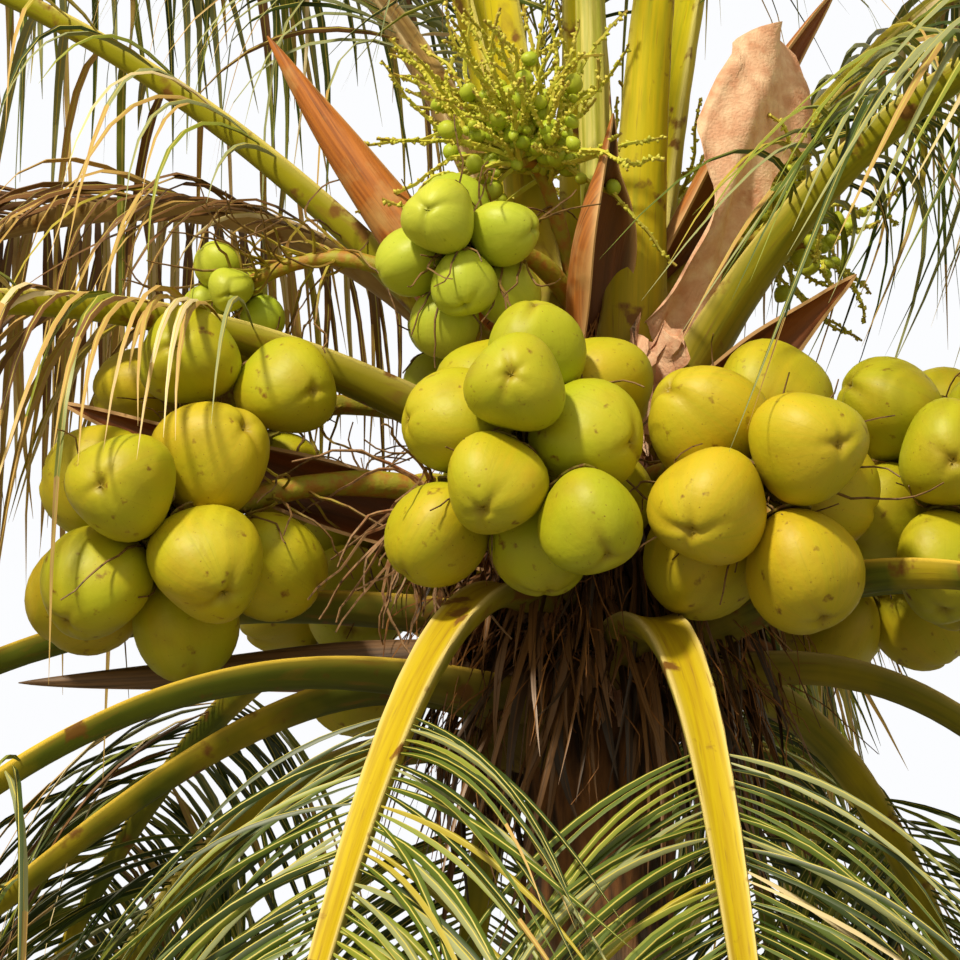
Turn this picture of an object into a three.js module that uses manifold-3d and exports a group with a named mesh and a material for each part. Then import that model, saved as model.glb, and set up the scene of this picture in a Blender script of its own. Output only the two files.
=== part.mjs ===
// A fruiting coconut palm, whole from the flat cut at ground level to the tips of its fronds.
// Units are millimetres, +Z is up, and the origin is the middle of the flat cut under the trunk.
// A turn of 0 degrees points along +X, 90 along +Y and 270 along -Y, the side the palm is seen from.
import * as THREE from "three";
import { mergeVertices } from "three/addons/utils/BufferGeometryUtils.js";
import Module from "manifold-3d";

const wasm = await Module();
wasm.setup();

// Driving dimensions of the whole tree
const CROWN_HEIGHT = 5200; // the middle of the heart, where the fronds leave the trunk
const CLEAR = 0.6; // the gap between neighbouring pieces
const TRUNK = {
  sides: 15,
  lean: 190, // how far the heart stands from the foot along X
  drift: 70, // and along Y
  radius: 138,
  taper: 0.1,
  flare: 118,
  flareHeight: 210,
  swell: 26, // the heart is thicker than the shaft by this
  swellSpread: 260,
  heartTop: 410, // above the middle of the heart
  tipRadius: 30,
};

// One row for each frond, from the oldest to the youngest. base is the height where it leaves the heart,
// from its middle; rise is its first angle above level, arch how far it bends down in all, and knee the
// share of its length where half of that is spent. sway turns it sideways towards its tip. A row may have its
// own value for what its tier shares.
const FRONDS = [
  { name: "frond_hanging_1", turn: 241, base: -270, rise: 30, arch: 104, knee: 0.09, sway: -22, split: true },
  { name: "frond_hanging_2", turn: 284, base: -350, rise: 34, arch: 112, knee: 0.09, sway: 6, split: true },
  { name: "frond_hanging_3", turn: 352, base: -330, rise: 14, arch: 100, knee: 0.17, sway: 10, split: true },
  { name: "frond_hanging_4", turn: 154, base: -440, rise: 14, arch: 96, knee: 0.19, sway: -8, split: true },
  { name: "frond_hanging_5", turn: 104, base: -350, rise: 28, arch: 112, knee: 0.14, sway: 10, split: true },
  { name: "frond_hanging_6", turn: 46, base: -350, rise: 26, arch: 108, knee: 0.15, sway: -10, split: true },
  { name: "frond_low_1", turn: 210, base: -370, rise: 8, arch: 82, knee: 0.28, sway: -8 },
  { name: "frond_low_2", turn: 190, base: -470, rise: 44, arch: 92, knee: 0.085, sway: 4 },
  { name: "frond_low_3", turn: 176, base: -215, rise: 10, arch: 76, knee: 0.33, sway: 6 },
  { name: "frond_low_4", turn: 320, base: -300, rise: 18, arch: 88, knee: 0.26, sway: 8 },
  { name: "frond_low_5", turn: 128, base: -225, rise: 22, arch: 88, knee: 0.3, sway: -6 },
  { name: "frond_low_6", turn: 75, base: -235, rise: 24, arch: 90, knee: 0.3, sway: 8 },
  { name: "frond_low_7", turn: 18, base: -215, rise: 20, arch: 84, knee: 0.32, sway: 8 },
  { name: "frond_middle_1", turn: 190, base: 50, rise: 28, arch: 84, knee: 0.36, sway: 4, bare: 0.16 },
  { name: "frond_middle_2", turn: 170, base: 130, rise: 49, arch: 78, knee: 0.6, sway: -2, bare: 0.18 },
  { name: "frond_middle_3", turn: 336, base: 40, rise: 60, arch: 122, knee: 0.4, sway: 12, bare: 0.15 },
  { name: "frond_middle_4", turn: 24, base: 160, rise: 62, arch: 92, knee: 0.52, sway: 6, bare: 0.15 },
  { name: "frond_middle_5", turn: 150, base: 90, rise: 52, arch: 112, knee: 0.36, sway: 8, bare: 0.16 },
  { name: "frond_middle_6", turn: 84, base: -30, rise: 40, arch: 88, knee: 0.48, sway: -4 },
  { name: "frond_middle_7", turn: 130, base: 165, rise: 66, arch: 88, knee: 0.56, sway: -8 },
  { name: "frond_upper_1", turn: 312, base: 190, rise: 87, arch: 74, knee: 0.72, sway: 8 },
  { name: "frond_upper_2", turn: 202, base: 260, rise: 84, arch: 64, knee: 0.8, sway: -8 },
  { name: "frond_upper_3", turn: 94, base: 265, rise: 83, arch: 80, knee: 0.68, sway: 8, bare: 0.2 },
  { name: "frond_upper_4", turn: 52, base: 310, rise: 77, arch: 72, knee: 0.75, sway: 8, bare: 0.2 },
  { name: "frond_upper_5", turn: 158, base: 325, rise: 79, arch: 68, knee: 0.78, sway: 8, bare: 0.2 },
];
// What the fronds of a tier share: where they start from the axis, their length, how stout their stalks
// are, and the share of the length that is bare.
const TIERS = {
  hanging: { start: 60, length: 3500, stout: 1, bare: 0.21 },
  low: { start: 60, length: 3700, stout: 1.1, bare: 0.3 },
  middle: { start: 60, length: 3850, stout: 1.15, bare: 0.24 },
  upper: { start: 100, length: 3750, stout: 1.2, bare: 0.28 },
};
for (const frond of FRONDS) Object.assign(frond, { ...TIERS[frond.name.split("_")[1]], ...frond });
const RIB_STEPS = 60;
const SPLIT_SHARE = 0.15; // a hanging frond is two pieces, which meet just past its bend
const BLADE_END = 0.98; // the share of the length where the last leaflets stand
const PAIRS = 10;
const LEAF = {
  length: 830,
  halfWidth: 33,
  thick: 10,
  rootTurn: 66, // the angle to the rib of the first leaflets
  tipTurn: 26, // and of the last
  lift: 0.1,
  drop: 0.62, // how far a leaflet's tip sinks and draws in, as shares of its length
  drawIn: 0.3,
};

// Bunches: level is the height of the middle from the heart's middle, reach its distance from the axis.
const BUNCHES = [
  { name: "bunch_front", turn: 254, reach: 470, level: -10, count: 12, radius: 87 },
  { name: "bunch_front_right", turn: 302, reach: 480, level: -60, count: 8, radius: 97 },
  { name: "bunch_right", turn: 343, reach: 650, level: 10, count: 10, radius: 92 },
  { name: "bunch_left_upper", turn: 184, reach: 680, level: 140, count: 6, radius: 82 },
  { name: "bunch_left", turn: 196, reach: 790, level: -95, count: 9, radius: 95 },
  { name: "bunch_young_left", turn: 228, reach: 370, level: 400, count: 8, radius: 60 },
  { name: "bunch_small_left", turn: 183, reach: 660, level: 405, count: 5, radius: 41 },
  { name: "bunch_back_right", turn: 32, reach: 620, level: -20, count: 7, radius: 94 },
  { name: "bunch_back", turn: 84, reach: 600, level: 40, count: 7, radius: 94 },
  { name: "bunch_back_left", turn: 134, reach: 620, level: -20, count: 7, radius: 94 },
  { name: "bunch_young_back", turn: 126, reach: 400, level: 380, count: 5, radius: 58 },
];
// The nuts start out spread over a ball, and are drawn inwards for the first of their steps.
const SETTLE = { steps: 120, pulledSteps: 90, pull: 0.06, spread: 1.6 };
const NUT = { length: 1.12, width: 1.02, spacing: 1.05, droop: 0.45 }; // of the radius a nut is packed with
const TWIG = 11; // the radius of the twig that holds a nut

// Flower clusters: a short stalk with a fan of spikes, some of which carry button nuts.
const CLUSTERS = [
  { name: "flowers_left", turn: 236, reach: 250, level: 600, spikes: 7, spike: 320, buttons: 4, lift: 0.7 },
  { name: "flowers_right", turn: 4, reach: 400, level: 500, spikes: 6, spike: 270, buttons: 3, lift: 0.4 },
  { name: "flowers_back", turn: 76, reach: 330, level: 560, spikes: 6, spike: 280, buttons: 3, lift: 0.5 },
  { name: "dry_strands", turn: 222, reach: 430, level: -55, spikes: 7, spike: 240, buttons: 0, lift: -1.5 },
];
const BUTTON = 22; // the radius of a button nut
const SPIKE = { root: 7, tip: 3 }; // the radii of a spike
const STRANDS = { drop: 90, radius: 75 }; // the ball that the nuts leave free for the dry strands

// Where the stalks leave the heart: the turn, and the level from the heart's middle. Each was chosen to
// pass between the leaf stalks.
const ROOTS = {
  bunch_front: [260, 23],
  bunch_front_right: [290, -12],
  bunch_right: [389, 32],
  bunch_left_upper: [138, 93],
  bunch_left: [196, -36.5],
  bunch_young_left: [258, 310],
  bunch_small_left: [229, 111],
  bunch_back_right: [14, 16],
  bunch_back: [72, 58],
  bunch_back_left: [164, 16],
  bunch_young_back: [80, 106],
  flowers_left: [236, 320],
  flowers_right: [-2, 320],
  flowers_back: [70, 320],
  dry_strands: [240, -8.5],
};
// Its way from there, as shares of the bunch's reach, and how thick it is at first and at each step.
const STALK = { out: 0.62, rise: 0.28, least: 13, more: 0.14, cluster: 16, thinning: 0.08, sides: 5 };

// Dry sheaths: each is a long boat, from its seat on the heart to a point. aim is the turn it points to,
// and open the turn that its hollow faces. A swell above the shared one puts its widest place nearer to
// its point.
const SHEATHS = [
  { name: "sheath_upper_left", turn: 200, base: 165, aim: 188, pitch: 54, length: 900, width: 66, open: 60 },
  {
    name: "sheath_front",
    turn: 222,
    base: 40,
    aim: 288,
    pitch: 66,
    length: 680,
    width: 94,
    open: 332,
    swell: 2.2,
  },
  { name: "sheath_right", turn: 322, base: 80, aim: 332, pitch: 32, length: 540, width: 62, open: 285 },
  { name: "sheath_upper_right", turn: 352, base: 300, aim: 6, pitch: 60, length: 820, width: 66, open: 330 },
  { name: "sheath_left", turn: 206, base: -60, aim: 189, pitch: 14, length: 930, width: 66, open: 262 },
  { name: "sheath_low_left", turn: 180, base: -290, aim: 183, pitch: 0, length: 960, width: 46, open: 90 },
  { name: "sheath_back", turn: 104, base: 300, aim: 112, pitch: 40, length: 760, width: 54, open: 20 },
];
const SHEATH_WALL = 8;
const SHEATH_SWELL = 0.8;

// Brown net that clings to the heart between the leaf stalks, and one tall sheet that stands off it.
const NETS = [
  { name: "net_front", from: 298, to: 326, low: 60, high: 330, out: 34, lean: 0 },
  { name: "net_tall", from: 300, to: 346, low: 230, high: 800, out: 22, lean: 170 },
  { name: "net_low", from: 244, to: 300, low: -430, high: -150, out: 40, lean: 0 },
  { name: "net_left", from: 214, to: 244, low: 120, high: 330, out: 30, lean: 0 },
  { name: "net_back", from: 32, to: 50, low: -20, high: 250, out: 30, lean: 0 },
];

const COLOURS = {
  bark: ["#8b7a66", 0.95],
  frond: ["#8c9a35", 0.6],
  nut: ["#b3b52e", 0.45],
  young_nut: ["#9fc23c", 0.45],
  flower: ["#c9c95a", 0.7],
  dry: ["#8a5a3a", 0.85],
  net: ["#9c6a4a", 0.95],
};

const UP = new THREE.Vector3(0, 0, 1);
const radians = THREE.MathUtils.degToRad;
const clamp = THREE.MathUtils.clamp;
const lerp = THREE.MathUtils.lerp;

// The same number between 0 and 1 for the same seed, every time.
function chance(seed) {
  const wide = Math.sin(seed * 12.9898 + 4.1414) * 43758.5453;
  return wide - Math.floor(wide);
}

// A unit vector from a turn round the tree and a pitch above level.
function heading(turn, pitch = 0) {
  const level = Math.cos(radians(pitch));
  return new THREE.Vector3(
    level * Math.cos(radians(turn)),
    level * Math.sin(radians(turn)),
    Math.sin(radians(pitch)),
  );
}

// The trunk's middle at a height: an S-curve that starts and ends upright.
function trunkAxis(z) {
  const t = clamp(z / (CROWN_HEIGHT - 500), 0, 1);
  const shift = t * t * (3 - 2 * t);
  return new THREE.Vector3(TRUNK.lean * shift, TRUNK.drift * shift, z);
}

function trunkRadius(z) {
  const level = z - CROWN_HEIGHT;
  const shaft = TRUNK.radius * (1 - (TRUNK.taper * z) / CROWN_HEIGHT);
  const flare = TRUNK.flare * Math.exp(-z / TRUNK.flareHeight);
  const swell = TRUNK.swell * Math.exp(-(((level + 80) / TRUNK.swellSpread) ** 2));
  const closing = clamp(level / TRUNK.heartTop, 0, 1);
  return (shaft + flare + swell - TRUNK.tipRadius) * Math.sqrt(1 - closing ** 2) + TRUNK.tipRadius;
}

// A point by its turn and reach from the heart's axis and its level above the heart's middle.
function heartPoint(turn, reach, level) {
  const point = trunkAxis(CROWN_HEIGHT).addScaledVector(heading(turn), reach);
  point.z += level;
  return point;
}

// Where a stalk or a sheath is rooted, inside the heart.
function seat(turn, level) {
  const low = clamp(level, -380, TRUNK.heartTop - 90);
  return heartPoint(turn, 0.55 * trunkRadius(CROWN_HEIGHT + low), low);
}

// A closed skin of triangles that grows ring by ring.
class Skin {
  points = [];
  faces = [];

  add(point) {
    return this.points.push(point.clone()) - 1;
  }

  ring(points) {
    return points.map((point) => this.add(point));
  }

  face(a, b, c) {
    this.faces.push([a, b, c]);
  }

  quad(a, b, c, d) {
    this.face(a, b, c);
    this.face(a, c, d);
  }

  band(near, far) {
    near.forEach((_, i) => {
      const j = (i + 1) % near.length;
      this.quad(near[i], near[j], far[j], far[i]);
    });
  }

  // Closes a ring with strips across it, which suits a round section and a crescent alike.
  cap(ring) {
    for (let i = 0, j = ring.length - 1; i + 1 < j; i++, j--) {
      this.face(ring[i], ring[i + 1], ring[j]);
      if (i + 1 < j - 1) this.face(ring[i + 1], ring[j - 1], ring[j]);
    }
  }

  point(ring, tip) {
    const top = this.add(tip);
    ring.forEach((corner, i) => this.face(corner, ring[(i + 1) % ring.length], top));
  }

  manifold() {
    const vertProperties = new Float32Array(this.points.flatMap((p) => [p.x, p.y, p.z]));
    const triVerts = new Uint32Array(this.faces.flat());
    return new wasm.Manifold(new wasm.Mesh({ numProp: 3, vertProperties, triVerts }));
  }

  // The solid inside the skin, turned the right way out.
  solid() {
    const made = this.manifold();
    if (made.volume() > 0) return made;
    this.faces = this.faces.map(([a, b, c]) => [a, c, b]);
    return this.manifold();
  }
}

// A skin through rings of points, closed at its foot and either closed or drawn to a tip at its end.
function loft(outlines, tip) {
  const skin = new Skin();
  const rings = outlines.map((outline) => skin.ring(outline));
  rings.slice(1).forEach((ring, i) => skin.band(rings[i], ring));
  skin.cap([...rings[0]].reverse());
  if (tip) skin.point(rings.at(-1), tip);
  else skin.cap(rings.at(-1));
  return skin.solid();
}

// A solid from one of three's own closed geometries.
function solidOf(geometry) {
  geometry.deleteAttribute("normal");
  geometry.deleteAttribute("uv");
  const merged = mergeVertices(geometry, 1e-3);
  const vertProperties = merged.attributes.position.array;
  const triVerts = new Uint32Array(merged.index.array);
  return new wasm.Manifold(new wasm.Mesh({ numProp: 3, vertProperties, triVerts }));
}

// A direction square to a row of points: to the plane it bends in, or to any plane where it is straight.
function square(path) {
  const whole = path.at(-1).clone().sub(path[0]);
  const bend = path[Math.floor(path.length / 2)].clone().sub(path[0]).cross(whole);
  if (bend.length() > 1e-3 * whole.lengthSq()) return bend.normalize();
  const aside = Math.abs(whole.z) < 0.9 * whole.length() ? UP : new THREE.Vector3(1, 0, 0);
  return aside.clone().cross(whole).normalize();
}

// A tapered stem along a row of points, with all its faces moved out by the amount it is to grow.
function stem(path, radii, sides, grow) {
  const across = square(path);
  const outlines = path.map((middle, i) => {
    const before = path[Math.max(i - 1, 0)];
    const ahead = path[Math.min(i + 1, path.length - 1)].clone().sub(before).normalize();
    const over = ahead.clone().cross(across).normalize();
    const end = i === 0 ? -grow : i === path.length - 1 ? grow : 0;
    return Array.from({ length: sides }, (_, k) => {
      const angle = (2 * Math.PI * k) / sides;
      const spot = middle.clone().addScaledVector(ahead, end);
      spot.addScaledVector(across, (radii[i] + grow) * Math.cos(angle));
      return spot.addScaledVector(over, (radii[i] + grow) * Math.sin(angle));
    });
  });
  return loft(outlines);
}

// Keep-outs

// The space that a piece takes, as short stretches with a radius round them.
const keepOuts = [];

function keepOut(owner, a, b, radius) {
  keepOuts.push({ owner, a: a.clone(), b: b.clone(), radius });
}

// The distance between the stretches a-b and c-d.
function stretchGap(a, b, c, d) {
  const u = b.clone().sub(a);
  const v = d.clone().sub(c);
  const w = a.clone().sub(c);
  const uu = u.dot(u);
  const vv = v.dot(v);
  const uv = u.dot(v);
  const uw = u.dot(w);
  const vw = v.dot(w);
  const flat = uu * vv - uv * uv;
  let s = flat > 1e-9 ? clamp((uv * vw - vv * uw) / flat, 0, 1) : 0;
  const t = vv > 1e-9 ? clamp((uv * s + vw) / vv, 0, 1) : 0;
  s = uu > 1e-9 ? clamp((uv * t - uw) / uu, 0, 1) : 0;
  return w.addScaledVector(u, s).addScaledVector(v, -t).length();
}

// Whether a stretch with a radius round it is clear of all other pieces' keep-outs.
function isClear(owner, a, b, radius) {
  return keepOuts.every((k) => k.owner === owner || stretchGap(a, b, k.a, k.b) > k.radius + radius);
}

// Trunk

function trunkOutline(z, grow) {
  return Array.from({ length: TRUNK.sides }, (_, k) => {
    const turn = (360 * k) / TRUNK.sides;
    const lobed = 1 + 0.07 * Math.sin(radians(5 * turn)) * Math.exp(-z / 260);
    return trunkAxis(z).addScaledVector(heading(turn), trunkRadius(z) * lobed + grow);
  });
}

function trunkSolid(grow) {
  const shaft = [0, 90, 200, 360, 640, 1100, 2000, 3200, 4400];
  const heart = [-300, -100, 100, 220, 310, 370, TRUNK.heartTop].map((level) => CROWN_HEIGHT + level);
  return loft([...shaft, ...heart].map((z) => trunkOutline(z, grow)));
}

function claimTrunk() {
  for (let z = 0; z < CROWN_HEIGHT + 200; z += 200)
    keepOut("trunk", trunkAxis(z), trunkAxis(z + 200), trunkRadius(z + 200));
}

// Fronds

// The midrib's frames: each has a place, the way ahead, the right side and the upper side.
function midrib(frond) {
  const frames = [];
  const place = heartPoint(frond.turn, frond.start, frond.base);
  const twist = radians(26 * (chance(FRONDS.indexOf(frond)) - 0.5));
  for (let i = 0; i <= RIB_STEPS; i++) {
    const share = i / RIB_STEPS;
    const bent = share ** 2 / (share ** 2 + frond.knee ** 2);
    const turn = frond.turn + frond.sway * share;
    const ahead = heading(turn, frond.rise - frond.arch * bent);
    const right = heading(turn - 90).applyAxisAngle(ahead, twist * share);
    frames.push({ share, place: place.clone(), ahead, right, over: right.clone().cross(ahead) });
    place.addScaledVector(ahead, frond.length / RIB_STEPS);
  }
  return frames;
}

// The frame at any share of the length, between the two nearest ones.
function frameAt(frames, share) {
  const at = clamp(share, 0, 1) * RIB_STEPS;
  const i = Math.min(Math.floor(at), RIB_STEPS - 1);
  const mix = (key) => frames[i][key].clone().lerp(frames[i + 1][key], at - i);
  const [ahead, right, over] = ["ahead", "right", "over"].map((key) => mix(key).normalize());
  return { share, place: mix("place"), ahead, right, over };
}

function ribWidth(frond, share) {
  return frond.stout * (10 + 100 * (1 - share) ** 2.4 + 60 * Math.exp(-share / 0.04));
}

function ribHeight(frond, share) {
  return frond.stout * (9 + 44 * (1 - share) ** 1.6 + 14 * Math.exp(-share / 0.05));
}

// A leaf stalk's section: a flat top, and flanks that draw in towards a narrow underside.
function ribOutline(frond, frame, grow) {
  const half = ribWidth(frond, frame.share) / 2 + grow;
  const high = ribHeight(frond, frame.share) + 2 * grow;
  const corners = [[-1, 0.36], [1, 0.36], [0.55, -0.64], [-0.55, -0.64]];
  return corners.map(([sideways, upward]) => {
    const corner = frame.place.clone().addScaledVector(frame.right, sideways * half);
    return corner.addScaledVector(frame.over, upward * high);
  });
}

// How far along the bladed part of a frond a share of its length is.
function bladeShare(frond, share) {
  return (share - frond.bare) / (1 - frond.bare);
}

function leafletLength(frond, share) {
  return LEAF.length * Math.sin(Math.PI * (0.18 + 0.74 * bladeShare(frond, share))) ** 0.8;
}

// How much a frond's leaflets hang: old fronds' more than those of the upright young ones.
function leafletWeight(frond) {
  return clamp(1.25 - frond.rise / 95, 0.4, 1.15);
}

// Where a leaflet runs: out to one side and forward, then over under its own weight.
function leafletPath(frond, frame, side, length) {
  const weight = leafletWeight(frond);
  const angle = radians(lerp(LEAF.rootTurn, LEAF.tipTurn, bladeShare(frond, frame.share)));
  const out = frame.ahead.clone().multiplyScalar(Math.cos(angle));
  out.addScaledVector(frame.right, side * Math.sin(angle));
  out.addScaledVector(frame.over, LEAF.lift).normalize();
  return (q) => {
    const spot = frame.place.clone().addScaledVector(out, length * (q - LEAF.drawIn * weight * q * q));
    return spot.addScaledVector(UP, -LEAF.drop * weight * length * q * q);
  };
}

function rowShare(frond, k) {
  return lerp(frond.bare, BLADE_END, k / PAIRS);
}

// The length of the leaflet on one side of a row, cut down or left out where another piece is in its way.
function leafletFit(frond, frame, side) {
  const full = leafletLength(frond, frame.share);
  for (const part of [1, 0.75, 0.5]) {
    const path = leafletPath(frond, frame, side, full * part);
    const [root, middle, tip] = [0.12, 0.5, 1].map(path);
    if (!isClear(frond.name, root, middle, 1.1 * LEAF.halfWidth)) continue;
    if (!isClear(frond.name, middle, tip, 0.6 * LEAF.halfWidth)) continue;
    keepOut(frond.name, root, middle, 0.9 * LEAF.halfWidth);
    keepOut(frond.name, middle, tip, 0.5 * LEAF.halfWidth);
    return full * part;
  }
  return 0;
}

// The rows of leaflets of a frond, each with the lengths on its two sides.
function leafletRows(frond, frames) {
  return Array.from({ length: PAIRS }, (_, k) => {
    const frame = frameAt(frames, rowShare(frond, k + 0.5));
    return { frame, right: leafletFit(frond, frame, 1), left: leafletFit(frond, frame, -1) };
  });
}

// One leaflet on the side of the rib between two rings: a blade with a ridge, drawn to a point.
function addLeaflet(skin, near, far, frond, frame, side, length, grow) {
  const path = leafletPath(frond, frame, side, length);
  const ahead = path(0.55).sub(path(0.45)).normalize();
  const wide = frame.ahead.clone().addScaledVector(ahead, -frame.ahead.dot(ahead)).normalize();
  const over = ahead.clone().cross(wide).multiplyScalar(side);
  const spot = (across, lift) => {
    const point = path(0.5).addScaledVector(wide, across * (LEAF.halfWidth + grow));
    return skin.add(point.addScaledVector(over, lift));
  };
  const [edgeNear, edgeFar, ridge] = [spot(-1, -grow), spot(1, -grow), spot(0, LEAF.thick + grow)];
  const tip = skin.add(path(1).addScaledVector(ahead, 2 * grow));
  const face = (a, b, c) => (side > 0 ? skin.face(a, b, c) : skin.face(c, b, a));
  face(near.top, near.low, edgeNear);
  face(near.low, far.low, edgeFar);
  face(near.low, edgeFar, edgeNear);
  face(far.low, far.top, edgeFar);
  face(far.top, near.top, ridge);
  face(near.top, edgeNear, ridge);
  face(far.top, ridge, edgeFar);
  face(ridge, edgeNear, tip);
  face(edgeNear, edgeFar, tip);
  face(edgeFar, ridge, tip);
}

// One flank of the rib between two rings, bare or with its leaflet.
function addFlank(skin, a, b, frond, row, side, grow) {
  const [top, low] = side > 0 ? [1, 2] : [0, 3];
  const length = row ? row[side > 0 ? "right" : "left"] : 0;
  if (length > 0) {
    const near = { top: a[top], low: a[low] };
    const far = { top: b[top], low: b[low] };
    addLeaflet(skin, near, far, frond, row.frame, side, length, grow);
  } else if (side > 0) skin.quad(a[1], a[2], b[2], b[1]);
  else skin.quad(a[3], a[0], b[0], b[3]);
}

// The whole frond, or the stretch of it between two shares of its length.
function frondSolid(frond, frames, rows, from, to, grow) {
  const bends = frond.knee < 0.2 ? [0, 0.035, 0.08, 0.12, SPLIT_SHARE, 0.2] : [0, 0.045, 0.15];
  const bare = [...bends, frond.bare];
  const shares = bare.filter((share) => share >= from && share <= to);
  const firstRow = shares.length - 1;
  const bladed = to > frond.bare;
  if (bladed) rows.forEach((_, k) => shares.push(rowShare(frond, k + 1)));
  const skin = new Skin();
  const rings = shares.map((share) => {
    const frame = frameAt(frames, share);
    if (share === from) frame.place.addScaledVector(frame.ahead, (from > 0 ? CLEAR : 0) - grow);
    if (share === to) frame.place.addScaledVector(frame.ahead, grow);
    return skin.ring(ribOutline(frond, frame, grow));
  });
  for (let i = 0; i + 1 < rings.length; i++) {
    const [a, b] = [rings[i], rings[i + 1]];
    const row = bladed ? rows[i - firstRow] : null;
    skin.quad(a[0], a[1], b[1], b[0]);
    skin.quad(a[2], a[3], b[3], b[2]);
    for (const side of [1, -1]) addFlank(skin, a, b, frond, row, side, grow);
  }
  skin.cap([...rings[0]].reverse());
  const last = frames.at(-1);
  if (bladed) skin.point(rings.at(-1), last.place.clone().addScaledVector(last.ahead, grow));
  else skin.cap(rings.at(-1));
  return skin.solid();
}

function claimRib(frond, frames) {
  const step = 3;
  for (let i = 0; i + step <= RIB_STEPS; i += step)
    keepOut(frond.name, frames[i].place, frames[i + step].place, 0.5 * ribWidth(frond, i / RIB_STEPS));
}

// Bunches of nuts

// A stalk's path: out of the heart, up and over, and down into its bunch.
function stalkPath(bunch) {
  const [turn, level] = ROOTS[bunch.name];
  const halfway = (turn + bunch.turn) / 2;
  const over = heartPoint(halfway, STALK.out * bunch.reach, bunch.level + STALK.rise * bunch.reach);
  const end = heartPoint(bunch.turn, bunch.reach, bunch.level);
  return new THREE.QuadraticBezierCurve3(seat(turn, level), over, end).getPoints(4);
}

function stalkThick(bunch) {
  return bunch.radius ? STALK.least + STALK.more * bunch.radius : STALK.cluster;
}

function stalkSolid(bunch, path, grow) {
  const radii = path.map((_, i) => stalkThick(bunch) * (1 - STALK.thinning * i));
  return stem(path, radii, STALK.sides, grow);
}

function claimStalk(bunch, path) {
  path.slice(1).forEach((point, i) => keepOut(bunch.name, path[i], point, stalkThick(bunch) * 0.8));
}

// The nuts of a bunch before they settle, spread evenly round its middle.
function startNuts(bunch, b) {
  const middle = heartPoint(bunch.turn, bunch.reach, bunch.level);
  return Array.from({ length: bunch.count }, (_, k) => {
    const height = 1 - (2 * (k + 0.5)) / bunch.count;
    const out = heading(137.508 * k + 40 * b).multiplyScalar(Math.sqrt(1 - height ** 2));
    const place = middle.clone().addScaledVector(out.setZ(height), SETTLE.spread * bunch.radius);
    return { bunch, middle, place, radius: bunch.radius * (0.94 + 0.12 * chance(100 * b + k)) };
  });
}

// Moves two nuts apart until they only touch, or a little more where they hang on different stalks.
function partNuts(a, b) {
  const need = (a.radius + b.radius) * (a.bunch === b.bunch ? NUT.spacing : NUT.spacing + 0.1);
  const apart = b.place.clone().sub(a.place);
  const gap = apart.length();
  if (gap >= need) return;
  apart.multiplyScalar((need - gap) / (2 * Math.max(gap, 1)));
  a.place.sub(apart);
  b.place.add(apart);
}

function clearNut(nut, k) {
  const near = new THREE.Line3(k.a, k.b).closestPointToPoint(nut.place, true, new THREE.Vector3());
  const away = nut.place.clone().sub(near);
  const need = k.radius + NUT.length * nut.radius + 2;
  const gap = away.length();
  if (gap < need) nut.place.addScaledVector(away, (need - gap) / Math.max(gap, 1));
}

// Packs the nuts: each is drawn to the middle of its bunch and pushed off its neighbours and off all
// that is in its way, again and again.
function settleNuts() {
  const nuts = BUNCHES.flatMap(startNuts);
  for (let step = 0; step < SETTLE.steps; step++) {
    const pull = step < SETTLE.pulledSteps ? SETTLE.pull : 0;
    for (const nut of nuts) nut.place.lerp(nut.middle, pull);
    nuts.forEach((a, i) => nuts.slice(i + 1).forEach((b) => partNuts(a, b)));
    for (const nut of nuts) for (const k of keepOuts) clearNut(nut, k);
  }
  return nuts;
}

// A nut's long axis points out of its bunch and down, with the flower end outermost.
function nutAxis(nut) {
  const out = nut.place.clone().sub(nut.middle).normalize();
  return out.addScaledVector(UP, -NUT.droop).normalize();
}

function nutSolid(nut, geometry, grow) {
  const shape = geometry.clone();
  const size = nut.radius + grow;
  shape.scale(NUT.width * size, NUT.length * size, NUT.width * size);
  shape.applyQuaternion(new THREE.Quaternion().setFromUnitVectors(new THREE.Vector3(0, 1, 0), nutAxis(nut)));
  shape.translate(...nut.place);
  return solidOf(shape);
}

// Each nut is joined by a short twig to the nearest of the stalk's end and the nuts nearer to it.
function bunchSolid(bunch, stalk, nuts, grow) {
  let made = stalkSolid(bunch, stalk, grow);
  const joined = [stalk.at(-1)];
  const far = (nut) => nut.place.distanceTo(nut.middle);
  for (const nut of [...nuts].sort((a, b) => far(a) - far(b))) {
    const [root] = joined.toSorted((a, b) => a.distanceTo(nut.place) - b.distanceTo(nut.place));
    const twig = stem([root, nut.place], [TWIG, TWIG], 3, grow);
    made = made.add(twig).add(nutSolid(nut, new THREE.IcosahedronGeometry(1), grow));
    joined.push(nut.place);
  }
  return made;
}

// Flower clusters and dry strands

// The way the k-th spike of a cluster points.
function spikeHeading(cluster, seed) {
  const sideways = cluster.turn + 220 * (chance(seed) - 0.5);
  return heading(sideways).addScaledVector(UP, cluster.lift + 0.9 * (chance(seed + 20) - 0.5)).normalize();
}

function clusterSolid(cluster, stalk, grow) {
  let made = stalkSolid(cluster, stalk, grow);
  for (let k = 0; k < cluster.spikes; k++) {
    const seed = 900 + 40 * CLUSTERS.indexOf(cluster) + k;
    const root = stalk.at(-2).clone().lerp(stalk.at(-1), (k + 0.5) / cluster.spikes);
    const out = spikeHeading(cluster, seed);
    const length = cluster.spike * (0.75 + 0.5 * chance(seed + 10));
    const tip = root.clone().addScaledVector(out, length);
    made = made.add(stem([root, tip], [SPIKE.root, SPIKE.tip], 3, grow));
    if (k >= cluster.buttons) continue;
    const place = root.clone().addScaledVector(out, (0.3 + 0.3 * chance(seed + 30)) * length);
    made = made.add(nutSolid({ place, middle: root, radius: BUTTON }, new THREE.OctahedronGeometry(1), grow));
  }
  return made;
}

// Dry sheaths

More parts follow.
